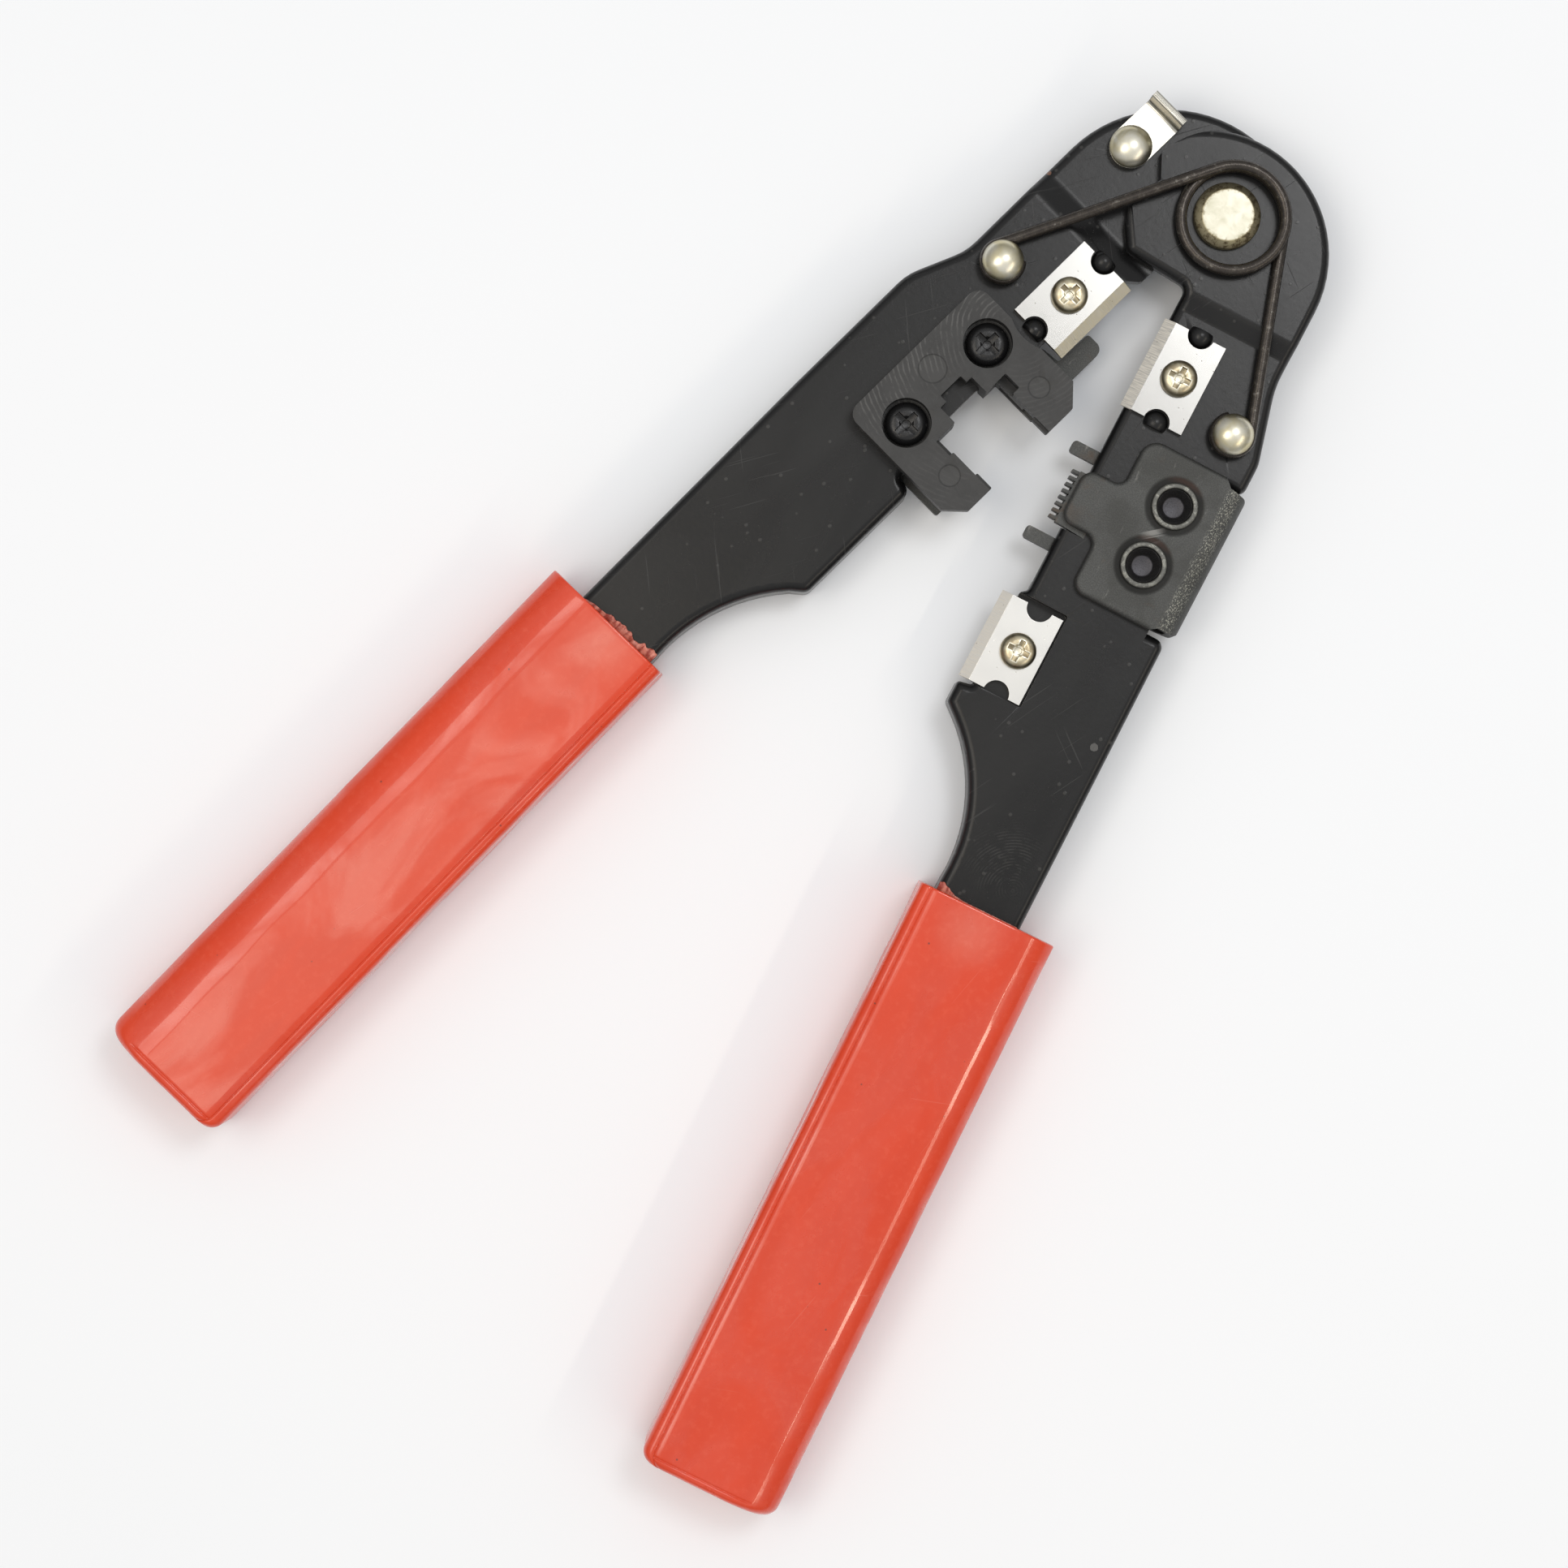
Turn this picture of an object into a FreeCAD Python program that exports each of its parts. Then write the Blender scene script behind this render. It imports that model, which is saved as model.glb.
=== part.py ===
import FreeCAD, Part
import math
import os

# Modular-plug crimping tool, lying on its back with the handles sprung open.
# Millimetres. The origin is on the pivot axis, in the plane that the tool lies on. +Y runs from the
# handles to the head, along the die arm, and +Z is the front, where the blades are. The punch arm is
# modelled closed, in line with the die arm, and then turned open about the pivot.

V = FreeCAD.Vector

# ---- driving dimensions -------------------------------------------------------------------------
OPEN_ANGLE = 18.0            # how far the spring holds the handles apart, degrees
DIE_SHEET = 2.5              # sheet of the die arm
PUNCH_SHEET = 2.3            # sheet of the punch arm
WEB_Z = 9.5                  # front face of both arms where the blades sit
DIE_HEAD_Z = 8.1             # front face of the die arm's head plate, one step down
PLATE_GAP = 0.1              # between the two head plates
PUNCH_HEAD_Z = DIE_HEAD_Z + PLATE_GAP + PUNCH_SHEET
FLANGE_Z = 0.8               # free edge of the turned-down flanges
TANG_Z = 2.2                 # the same, inside the grips
BEND_R = 1.4                 # outside radius along the turned-down edges
TANG_END_Y = -184.0
HEAD_CENTRE = (-2.8, -8.4)   # round back of the die arm's head
HEAD_R = 19.8
RIM_CENTRE = (-0.35, -6.1)   # and of the punch arm's
RIM_R = 17.9
INNER_HEAD_R = 8.6           # the die arm's plate inside the punch arm's rim

PIVOT_R = 3.2                # pivot rivet's shank
PIVOT_HEAD_R = 4.75
PIVOT_REAR_R = 5.4
PIVOT_TOP_Z = 12.6
RUN_CLEARANCE = 0.05         # radial, round everything that turns

PLUG_Y = -45.5               # middle of the plug cavity, the comb and the guides
PLUG_WIDTH = 11.8            # the cavity takes an 8P8C plug, 11.68 wide
CAVITY_FLOOR_X = -6.0
COMB_PITCH = 1.02            # one tooth for each of the plug's contacts
COMB_TEETH = 8
DIE_TOP_Z = 13.0
EAR_Z = WEB_Z + 0.25         # underside of the die's ears, which pass over the punch arm
BACKING_Z = 2.4              # back of the die's backing plate
BACKING_T = 1.6

GUIDE_Z = (5.3, 7.15)        # back and front faces of the plates behind the punch arm
RELIEF_Z = (3.25, 5.25)
COMB_Z = (7.2, WEB_Z)
LEAF_T = 1.6                 # sheet of the bracket
LEAF_BACK_Z = 1.6            # back of its rear leaf

BLADE_T = 1.1
BLADE_LENGTH = 13.9
BLADE_WIDTH = 9.65
BLADE_BEVEL = 1.6
NOTCH_R = 1.9                # half-round notches in the blades' ends
STRIP_EDGE_X = -1.0          # cutting edge of the punch arm's strip blade
STRIP_SLOT = 1.05            # between the two strip blades when closed
SEAT_Z = 7.1                 # floor of the cutter's recess
ANVIL_X = -3.6               # flat that the cutter closes on

POST_SHANK_R = 1.6
POST_DOME_R = 2.95
WIRE_R = 0.825               # torsion spring wire
COIL_R = 7.4
COIL_CENTRE = (0.9, 0.2)
COIL_LOW_Z = PUNCH_HEAD_Z + WIRE_R + 0.2
COIL_HIGH_Z = COIL_LOW_Z + 1.75
DIE_HOOK_Z = 11.6
PUNCH_HOOK_Z = 11.3
HOOK_R = POST_SHANK_R + WIRE_R + 0.1
HOOK_TURN = 250.0            # how far each hook goes round its post, degrees
SPRING_STEP = 40.0           # most that the wire turns at one corner of its route, degrees
SPRING_REACH = 0.48          # share of a straight run that the arc at its end takes up

GRIP_WIDTH = 21.15
GRIP_Z = 13.4
GRIP_TILT = 1.4              # degrees
GRIP_OUTER_R = 4.6
GRIP_INNER_R = 1.7

DIE_POST = (-17.7, -27.3)
PUNCH_POST = (15.06, -27.2)
LATCH_PIVOT = (-16.7, -2.56)
DIE_SCREWS = ((-10.8, -37.1), (-10.8, -53.2))
BRACKET_RIVETS = ((12.5, -40.0), (12.4, -49.4))
STRIP_DIE_SCREW = (-7.65, -23.8)
STRIP_PUNCH_SCREW = (4.65, -23.6)
CUTTER_SCREW = (2.4, -68.3)
EJECTOR_MARKS = ((-13.7, -45.2, 2.05), (-1.25, -36.3, 1.55), (-1.2, -54.1, 1.55))     # x, y, radius
EJECTOR_DEPTH = 0.08


# ---- drawing helpers ----------------------------------------------------------------------------
def outline(*steps):
    """Closed wire in the XY plane. (x, y) is a corner, (x, y, r) a rounded one, and ("via", x, y)
    bends the side that it stands on into an arc."""
    corners, vias = [], {}
    for step in steps:
        if step[0] == "via":
            vias[len(corners) - 1] = V(step[1], step[2], 0)
        else:
            corners.append((V(step[0], step[1], 0), step[2] if len(step) > 2 else 0))
    count = len(corners)
    entry, leave, rounds = [], [], []
    for i, (point, radius) in enumerate(corners):
        if not radius:
            entry.append(point)
            leave.append(point)
            rounds.append(None)
            continue
        back = (corners[i - 1][0] - point).normalize()
        ahead = (corners[(i + 1) % count][0] - point).normalize()
        half = back.getAngle(ahead) / 2
        reach = radius / math.tan(half)
        middle = (back + ahead).normalize() * (radius / math.sin(half) - radius)
        entry.append(point + back * reach)
        leave.append(point + ahead * reach)
        rounds.append(point + middle)
    edges = []
    for i in range(count):
        if rounds[i] is not None:
            edges.append(Part.Arc(entry[i], rounds[i], leave[i]).toShape())
        start, end = leave[i], entry[(i + 1) % count]
        if i in vias:
            edges.append(Part.Arc(start, vias[i], end).toShape())
        elif start.distanceToPoint(end) > 1e-6:
            edges.append(Part.makeLine(start, end))
    return Part.Wire(edges)


def prism(wire, z0, z1):
    face = Part.Face(wire)
    face.translate(V(0, 0, z0))
    return face.extrude(V(0, 0, z1 - z0))


def slab(wire, x0, x1):
    """Solid from an outline drawn as (y, z), standing between two values of x."""
    face = Part.Face(wire)
    face.rotate(V(0, 0, 0), V(1, 1, 1), 120)
    face.translate(V(x0, 0, 0))
    return face.extrude(V(x1 - x0, 0, 0))


def box(x0, x1, y0, y1, z0, z1):
    return Part.makeBox(x1 - x0, y1 - y0, z1 - z0, V(x0, y0, z0))


def rod(x, y, r, z0, z1):
    return Part.makeCylinder(r, z1 - z0, V(x, y, z0))


def disc(x, y, profile):
    """Solid turned about a vertical axis, from an outline drawn as (radius, z)."""
    face = Part.Face(profile)
    face.rotate(V(0, 0, 0), V(1, 0, 0), 90)
    face.translate(V(x, y, 0))
    return face.revolve(V(x, y, 0), V(0, 0, 1), 360)


def on_circle(centre, r, degrees):
    a = math.radians(degrees)
    return (centre[0] + r * math.cos(a), centre[1] + r * math.sin(a))


def facing(face, point):
    u, v = face.Surface.parameter(point)
    return face.normalAt(u, v)


def rim_edges(shape, wanted, low=5.0):
    """Edges where an upward face meets a wall, of those whose middle is wanted."""
    found = []
    for edge in shape.Edges:
        mid = edge.valueAt((edge.FirstParameter + edge.LastParameter) / 2)
        if mid.z < low or not wanted(mid):
            continue
        tilts = [facing(face, mid).z for face in shape.ancestorsOfType(edge, Part.Face)]
        if len(tilts) == 2 and max(tilts) > 0.5 and abs(min(tilts, key=abs)) < 0.05:
            found.append(edge)
    return found


def rounded(shape, radius, wanted=lambda p: True, low=5.0):
    return shape.makeFillet(radius, rim_edges(shape, wanted, low))


def hex_nut(x, y, r, z0, z1, hole):
    corners = [on_circle((x, y), r, 60 * i) for i in range(6)]
    nut = prism(outline(*corners), z0, z1)
    cone = disc(x, y, outline((0, z0), (r - 0.35, z0), (r + 0.05, z0 + 0.4), (r + 0.05, z1), (0, z1)))
    return nut.common(cone).cut(rod(x, y, hole, z0 - 1, z1 + 1))


def cross_recess(x, y, z, size, depth):
    """Four-winged driver recess with a tapered middle."""
    wing = box(-size, size, -size * 0.24, size * 0.24, z - depth, z + 2)
    wing = wing.fuse(box(-size * 0.24, size * 0.24, -size, size, z - depth, z + 2))
    point = Part.makeCone(size * 0.3, size * 0.55, depth * 1.2, V(0, 0, z - depth * 1.2))
    recess = wing.fuse(point)
    recess.translate(V(x, y, 0))
    return recess


def pan_screw(x, y, head_r, z0, height, shank_r, z_end):
    """Pan-head screw whose head stands on z0."""
    crown = outline((0, z0), (head_r, z0), (head_r, z0 + height * 0.35), ("via", head_r * 0.84,
                    z0 + height * 0.8), (head_r * 0.45, z0 + height), (0, z0 + height))
    screw = disc(x, y, crown).fuse(rod(x, y, shank_r, z_end, z0))
    return screw.removeSplitter().cut(cross_recess(x, y, z0 + height, head_r * 0.62, height * 0.75))


def dome_rivet(x, y, dome_r, z0, height, shank_r, z_end):
    """Round-headed rivet or post; the dome's rim stands on z0."""
    edge_h = 0.1
    ball = (dome_r ** 2 + (height - edge_h) ** 2) / (2 * (height - edge_h))
    centre = (0, z0 + height - ball)
    rise = math.degrees(math.asin(dome_r / ball))
    side = on_circle(centre, ball, 90 - rise / 2)
    dome = outline((0, z0), (dome_r - 0.15, z0), (dome_r, z0 + edge_h), ("via", *side), (0, z0 + height))
    return disc(x, y, dome).fuse(rod(x, y, shank_r, z_end, z0)).removeSplitter()


# ---- the two arms: pressed steel channels -------------------------------------------------------

def die_arm_outline():
    crown = on_circle(HEAD_CENTRE, HEAD_R, 88)
    return outline(
        (-23.6, TANG_END_Y, 2), (-25.6, -103.0), (-26.15, -60.0), (-26.15, -37.95, 9),
        (-22.6, -29.5, 9), (-22.6, HEAD_CENTRE[1]), ("via", *on_circle(HEAD_CENTRE, HEAD_R, 135)), crown,
        (-1.9, INNER_HEAD_R * 0.978), ("via", INNER_HEAD_R, 0), (3.2, -INNER_HEAD_R * 0.935),
        (-1.9, -11.4), (-1.9, -14.9, 1), (-3.9, -16.8, 1), (-5.4, -18.0, 1), (-5.4, -33.0, 1),
        (-5.9, -33.6, 1), (-5.9, -38.2), (-7.3, -38.2), (-7.3, -52.8), (-5.9, -52.8), (-5.9, -58.9, 0.8),
        (ANVIL_X, -59.4, 1.6), (ANVIL_X, -79.9, 1.6), (-5.6, -81.6), ("via", -10.0, -88.6),
        (-12.1, -102.0), (-12.1, -104.0), (-10.3, TANG_END_Y, 2))


def die_arm_side(drop):
    """Side view of the die arm's sheet, lowered by drop."""
    head, web = DIE_HEAD_Z - drop, WEB_Z - drop
    return outline((30, FLANGE_Z - drop), (30, head), (-13.3, head, 3), (-16.7, web, 3), (-200, web),
                   (-200, TANG_Z - drop), (-99, TANG_Z - drop), (-90, FLANGE_Z - drop))


def lanced_bosses(x, y, z):
    """Two half domes, sheared flat on their outer sides, that locate a blade by its end notches."""
    bosses = []
    for side in (-1, 1):
        end = y + side * BLADE_LENGTH / 2
        flat = end + side * 0.85
        deep = end - side * NOTCH_R
        ball = Part.makeSphere(NOTCH_R - 0.08, V(x, end, z - 0.35))
        bosses.append(ball.common(box(x - 3, x + 3, min(flat, deep), max(flat, deep), z - 0.3, z + 3)))
    return bosses


def die_arm():
    wire = die_arm_outline()
    arm = prism(wire, -5, 20).common(slab(die_arm_side(0), -40, 40))
    seen = lambda p: not (p.x > -2.5 and p.y > -12) and p.y > -182 and not (-53 < p.y < -34 and p.x > -8)
    arm = rounded(arm, BEND_R, lambda p: seen(p) and (p.x < -12.05 or p.y < -58.95))
    inside = Part.Face(wire).makeOffset2D(-DIE_SHEET)
    inside.translate(V(0, 0, -5))
    hollow = inside.extrude(V(0, 0, 25))
    hollow = hollow.fuse(rod(*HEAD_CENTRE, HEAD_R - DIE_SHEET, -5, 20)).fuse(box(-12, 0, -58.9, -10, -5, 20))
    arm = arm.cut(hollow.common(slab(die_arm_side(DIE_SHEET), -40, 40)))
    arm = arm.cut(box(-40, 40, -200, 40, -10, FLANGE_Z))
    for boss in lanced_bosses(*STRIP_DIE_SCREW, WEB_Z):
        arm = arm.fuse(boss)
    arm = arm.cut(rod(0, 0, PIVOT_R + RUN_CLEARANCE, -1, 20))
    for x, y, r in ((*LATCH_PIVOT, POST_SHANK_R), (*DIE_POST, POST_SHANK_R), (*STRIP_DIE_SCREW, 1.5),
                    (*DIE_SCREWS[0], 1.7), (*DIE_SCREWS[1], 1.7)):
        arm = arm.cut(rod(x, y, r, -1, 20))
    return arm


def punch_arm_outline():
    top = on_circle(RIM_CENTRE, RIM_R, 108)
    return outline(
        (22.9, TANG_END_Y, 2), (21.0, -104.0), (20.5, -57.6, 1.4), (17.5, -57.6), (17.5, -34.0),
        (20.6, -34.0, 1.2), (20.6, -29.0, 6), (17.55, -18.0, 14), (17.55, RIM_CENTRE[1]),
        ("via", *on_circle(RIM_CENTRE, RIM_R, 50)), top, ("via", -9.5, 8.35), (-12.4, 3.9), (-10.7, 0.4, 0.6),
        (-13.2, -4.6, 0.8), (-12.1, -8.1), (-10.3, -10.85, 1.4), (-0.36, -11.5, 1.2), (-0.36, -60.0, 0.8),
        (-1.2, -60.6, 0.4), (-1.2, -75.6, 0.4), (-3.3, -76.0, 0.5), (-3.3, -79.3, 1.0), (-1.6, -80.7),
        ("via", 5.1, -89.0), (7.7, -102.0), (7.7, -104.0), (9.6, TANG_END_Y, 2))


def punch_arm_side(drop):
    head, web = PUNCH_HEAD_Z - drop, WEB_Z - drop
    return outline((30, FLANGE_Z - drop), (30, head), (-11.9, head, 3), (-14.4, web, 1.2), (-200, web),
                   (-200, TANG_Z - drop), (-99, TANG_Z - drop), (-90, FLANGE_Z - drop))


def punch_arm():
    wire = punch_arm_outline()
    arm = prism(wire, -5, 20).common(slab(punch_arm_side(0), -40, 40))
    arm = rounded(arm, BEND_R, lambda p: p.y > -182 and (p.x > 7.7 or p.y < -76.2) and abs(p.y + 45.8) > 12
                  and not (p.x < 12 and p.y > -30) and not p.x < -3)
    # the recess that the cutter sits in: the sheet is pressed down behind the inner edge
    pressed = prism(outline((-5, -75.4), (6.4, -75.4, 0.4), (6.4, -60.7, 0.4), (-5, -60.7)), SEAT_Z, 20)
    arm = arm.cut(pressed)
    inside = Part.Face(wire).makeOffset2D(-PUNCH_SHEET)
    inside.translate(V(0, 0, -5))
    hollow = inside.extrude(V(0, 0, 25))
    hollow = hollow.fuse(rod(*RIM_CENTRE, RIM_R - PUNCH_SHEET, -5, 20)).fuse(box(-2, 12, -58.6, -10, -5, 20))
    hollow = hollow.fuse(box(-20, 2.6, -30, 30, -5, 20)).fuse(box(-2, 25, -58.6, -33.0, -5, 20))
    hollow = hollow.common(slab(punch_arm_side(PUNCH_SHEET), -40, 40))
    seat = box(-5, 8.7, -77.7, -58.4, SEAT_Z - PUNCH_SHEET, 20)
    arm = arm.cut(hollow.cut(seat))
    arm = arm.cut(box(-5, -1.2, -75.3, -60.6, SEAT_Z - PUNCH_SHEET, 20))
    arm = arm.cut(box(-5, 8.7, -75.4, -57.5, -5, SEAT_Z - PUNCH_SHEET))
    arm = arm.cut(box(-40, 40, -200, 40, -10, FLANGE_Z))
    arm = arm.cut(box(-5, 3.2, PLUG_Y - 4.4, PLUG_Y + 4.4, WEB_Z - PUNCH_SHEET - 1, 20))
    for boss in lanced_bosses(*STRIP_PUNCH_SCREW, WEB_Z):
        arm = arm.fuse(boss)
    arm = arm.cut(rod(0, 0, PIVOT_R + RUN_CLEARANCE, -1, 20))
    for x, y, r in ((*PUNCH_POST, POST_SHANK_R), (*STRIP_PUNCH_SCREW, 1.5), (*CUTTER_SCREW, 1.5),
                    (*BRACKET_RIVETS[0], 3.0), (*BRACKET_RIVETS[1], 3.0)):
        arm = arm.cut(rod(x, y, r, -1, 20))
    return arm


# ---- grips: moulded PVC sleeves -----------------------------------------------------------------
def grip(mouth_y, outer_x, end_y, sign, tang):
    """Box-section sleeve, softly rounded on its outer side; sign is -1 where that side is at -X."""
    length = mouth_y - end_y
    x_out, x_in = outer_x, outer_x - sign * GRIP_WIDTH
    section = outline((x_out, 0, GRIP_OUTER_R), (x_in, 0, GRIP_INNER_R), (x_in, GRIP_Z, GRIP_INNER_R),
                      (x_out, GRIP_Z, GRIP_OUTER_R))
    face = Part.Face(section)
    face.rotate(V(0, 0, 0), V(1, 0, 0), 90)
    face.translate(V(0, mouth_y, 0))
    sleeve = face.extrude(V(0, -length, 0))
    low, high = min(x_out, x_in), max(x_out, x_in)
    plan = prism(outline((low, end_y, 2.2), (high, end_y, 2.2), (high, mouth_y), (low, mouth_y)), 0, GRIP_Z)
    plan = plan.makeFillet(1.2, [e for e in plan.Edges if abs(e.BoundBox.ZLength) < 1e-6
                                 and e.CenterOfMass.y < end_y + 2.5])
    sleeve = sleeve.common(plan)
    sleeve.rotate(V(outer_x, mouth_y, 0), V(0, 0, 1), GRIP_TILT)
    return sleeve.cut(tang)


def tang_space(wire):
    """Room for an arm's tang inside its grip."""
    low = box(-60, 60, TANG_END_Y - 1, -99.0, TANG_Z, WEB_Z)
    return prism(wire, TANG_Z, WEB_Z).common(low)


# ---- die and its fastenings ---------------------------------------------------------------------
def crimp_die():
    half = PLUG_WIDTH / 2
    top = outline(
        (-17.6, -32.25, 1.9), (-17.6, -58.3, 1.9), (1.4, -58.3, 0.2), (4.2, -55.6, 0.2),
        (4.2, PLUG_Y - 5.4, 0.2), (1.25, PLUG_Y - 5.4, 0.2), (1.25, PLUG_Y - half),
        (-3.2, PLUG_Y - half, 0.2), (-3.2, -52.1, 0.2), (CAVITY_FLOOR_X, -52.1, 0.2), (CAVITY_FLOOR_X, -48.3, 0.2), (-9.0, -48.3, 0.2),
        (-9.0, -47.1), (-10.2, -47.1, 0.2), (-10.2, -43.1, 0.2), (-9.0, -43.1), (-9.0, -42.1, 0.2),
        (CAVITY_FLOOR_X, -42.1, 0.2), (CAVITY_FLOOR_X, -38.3, 0.2), (-3.2, -38.3, 0.2),
        (-3.2, PLUG_Y + half, 0.2), (1.25, PLUG_Y + half), (1.25, PLUG_Y + 5.4, 0.2),
        (4.2, PLUG_Y + 5.4, 0.2), (4.2, -35.0, 0.2), (1.5, -32.25, 0.2), (-4.9, -32.25),
        ("via", -7.9, -32.95), (-10.9, -32.25))
    die = prism(top, WEB_Z, DIE_TOP_Z)
    # the retaining lips at the ears' tips are lower than the face
    for side in (-1, 1):
        lip = PLUG_Y + side * half
        die = die.cut(box(1.25, 5, min(lip, lip - side * 1.2), max(lip, lip - side * 1.2), EAR_Z + 1.7, 20))
    die = die.cut(box(CAVITY_FLOOR_X + 0.15, 5, -60, -30, WEB_Z - 1, EAR_Z))
    body = box(CAVITY_FLOOR_X - 1.2, -0.8, -57.2, -33.7, BACKING_Z + BACKING_T, EAR_Z)
    for y0, y1 in ((-60, -52.7), (-38.3, -30)):
        body = body.cut(box(-9, CAVITY_FLOOR_X + 0.15, y0, y1, 0, 20))
    body = body.cut(box(CAVITY_FLOOR_X, 0, PLUG_Y - half, PLUG_Y + half, 0, 20))
    body = body.cut(box(-9, 0, -48.3, -42.1, 0, 20))
    for y0, y1 in ((-54.0, PLUG_Y - half + 0.1), (PLUG_Y + half - 0.1, -37.15)):
        body = body.cut(box(-5.4, 0, y0, y1, 4.9, 7.5))
    die = die.fuse(body)
    for x, y in DIE_SCREWS:
        die = die.cut(rod(x, y, 3.55, 10.4, 20)).cut(rod(x, y, 1.8, 0, 20))
    for x, y, r in EJECTOR_MARKS:
        die = die.cut(rod(x, y, r, DIE_TOP_Z - EJECTOR_DEPTH, 20))
    return die.removeSplitter()


def die_backing_plate():
    """Steel plate under the die. Its tongue stops the cable's end between the strip blades."""
    half = PLUG_WIDTH / 2 + 0.2
    plate = outline(
        (-16.5, -33.0, 2), (-16.5, -58.7, 2), (1.35, -58.7, 0.4), (1.35, PLUG_Y - half, 0.3),
        (CAVITY_FLOOR_X - 0.1, PLUG_Y - half, 0.3), (CAVITY_FLOOR_X - 0.1, -48.6, 0.3), (-10.6, -48.6, 0.3),
        (-10.6, -41.8, 0.3), (CAVITY_FLOOR_X - 0.1, -41.8, 0.3), (CAVITY_FLOOR_X - 0.1, PLUG_Y + half, 0.3),
        (1.35, PLUG_Y + half, 0.3), (1.05, -33.0), (1.05, -24.8, 1.3), (-2.1, -24.8, 0.6), (-2.1, -30.6, 0.5),
        (-5.4, -31.0, 0.5), (-5.6, -33.0, 0.5))
    plate = prism(plate, BACKING_Z, BACKING_Z + BACKING_T)
    for x, y in DIE_SCREWS:
        plate = plate.cut(rod(x, y, 1.8, 0, 20))
    return plate


def die_spacers():
    tubes = [rod(x, y, 3.4, BACKING_Z + BACKING_T, WEB_Z - DIE_SHEET).cut(rod(x, y, 1.8, 0, 20))
             for x, y in DIE_SCREWS]
    return Part.makeCompound(tubes)


def die_screws():
    return Part.makeCompound([pan_screw(x, y, 3.1, 10.4, 1.9, 1.65, 0.9) for x, y in DIE_SCREWS])


def die_nuts():
    return Part.makeCompound([hex_nut(x, y, 3.2, 0.4, BACKING_Z, 1.65) for x, y in DIE_SCREWS])


# ---- blades -------------------------------------------------------------------------------------
def blade(edge_x, facing_x, y, z, length, width):
    """Reversible blade with its cutting edge at edge_x. facing_x is 1 where the edge looks to +X."""
    back = edge_x - facing_x * width
    lift = 0.15
    side = outline((back, z), (edge_x, z), (edge_x, z + lift), (edge_x - facing_x * BLADE_BEVEL, z + BLADE_T),
                   (back, z + BLADE_T))
    face = Part.Face(side)
    face.rotate(V(0, 0, 0), V(1, 0, 0), 90)
    face.translate(V(0, y + length / 2, 0))
    return face.extrude(V(0, -length, 0))


def notched(plate, x, y, z, length):
    for side in (-1, 1):
        plate = plate.cut(rod(x, y + side * length / 2, NOTCH_R, z - 1, z + 3))
    return plate.cut(rod(x, y, 1.55, z - 1, z + 3))


def die_strip_blade():
    x, y = STRIP_DIE_SCREW
    edge = STRIP_EDGE_X - STRIP_SLOT
    return notched(blade(edge, 1, y, WEB_Z, BLADE_LENGTH, BLADE_WIDTH), x, y, WEB_Z, BLADE_LENGTH)


def punch_strip_blade():
    x, y = STRIP_PUNCH_SCREW
    return notched(blade(STRIP_EDGE_X, -1, y, WEB_Z, BLADE_LENGTH, BLADE_WIDTH), x, y, WEB_Z, BLADE_LENGTH)


def cutter_blade():
    x, y = CUTTER_SCREW
    edge = ANVIL_X + 0.05
    return notched(blade(edge, -1, y, SEAT_Z, 13.7, 9.7), x, y, SEAT_Z, 13.7)


def blade_screw(x, y, seat):
    return pan_screw(x, y, 2.62, seat + BLADE_T, 1.75, 1.45, seat - PUNCH_SHEET - 2.6)


def blade_nut(x, y, sheet_back):
    return hex_nut(x, y, 2.85, sheet_back - 2.2, sheet_back, 1.45)


# ---- punch, guides and bracket ------------------------------------------------------------------

def contact_comb():
    """Eight teeth that drive the plug's contacts home, under the bracket's nose."""
    base = prism(outline((3.2, PLUG_Y - 4.4), (3.2, PLUG_Y + 4.4), (-0.6, PLUG_Y + 4.4, 0.3),
                         (-0.6, PLUG_Y + 4.0), (-1.6, PLUG_Y + 4.0, 0.2), (-1.6, PLUG_Y - 4.1, 0.2), (-0.6, PLUG_Y - 4.1)), *COMB_Z)
    for i in range(COMB_TEETH):
        y = PLUG_Y + (i - (COMB_TEETH - 1) / 2) * COMB_PITCH
        tooth = outline((-1.7, y - 0.26), (-2.75, y - 0.21, 0.12), (-2.75, y + 0.21, 0.12), (-1.7, y + 0.26),
                        (-1.5, y))
        base = base.fuse(prism(tooth, *COMB_Z))
    return base.removeSplitter()


def plate_with_rivet_holes(wire, z0, z1):
    plate = prism(wire, z0, z1)
    for x, y in BRACKET_RIVETS:
        plate = plate.cut(rod(x, y, 3.0, z0 - 1, z1 + 1))
    return plate


def guide_plate():
    """Carries the two prongs that run in the die's slots and keep the jaws in line."""
    return plate_with_rivet_holes(outline(
        (16.2, -55.0, 1), (16.2, -35.6, 1), (2.2, -35.6, 1), (0.6, -37.6, 0.5), (-4.4, -37.6, 0.6),
        (-4.4, -39.5, 0.5), (0.6, -39.5, 0.4), (1.4, -41.0, 0.4), (1.4, -49.8, 0.4), (0.6, -51.45, 0.4),
        (-4.7, -51.45, 0.5), (-4.7, -53.4, 0.6), (0.6, -53.4, 0.5), (2.2, -55.0, 1)), *GUIDE_Z)


def strain_relief_punch():
    """Blunt tooth that presses the plug's strain relief onto the cable's jacket."""
    return plate_with_rivet_holes(outline(
        (16.2, -54.0, 1), (16.2, -36.5, 1), (6.0, -36.5, 1), (4.5, PLUG_Y + 3.0, 1),
        (-1.7, PLUG_Y + 3.0, 0.5), (-1.7, PLUG_Y - 3.0, 0.5), (4.5, PLUG_Y - 3.0, 1), (6.0, -54.0, 1)), *RELIEF_Z)


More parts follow.
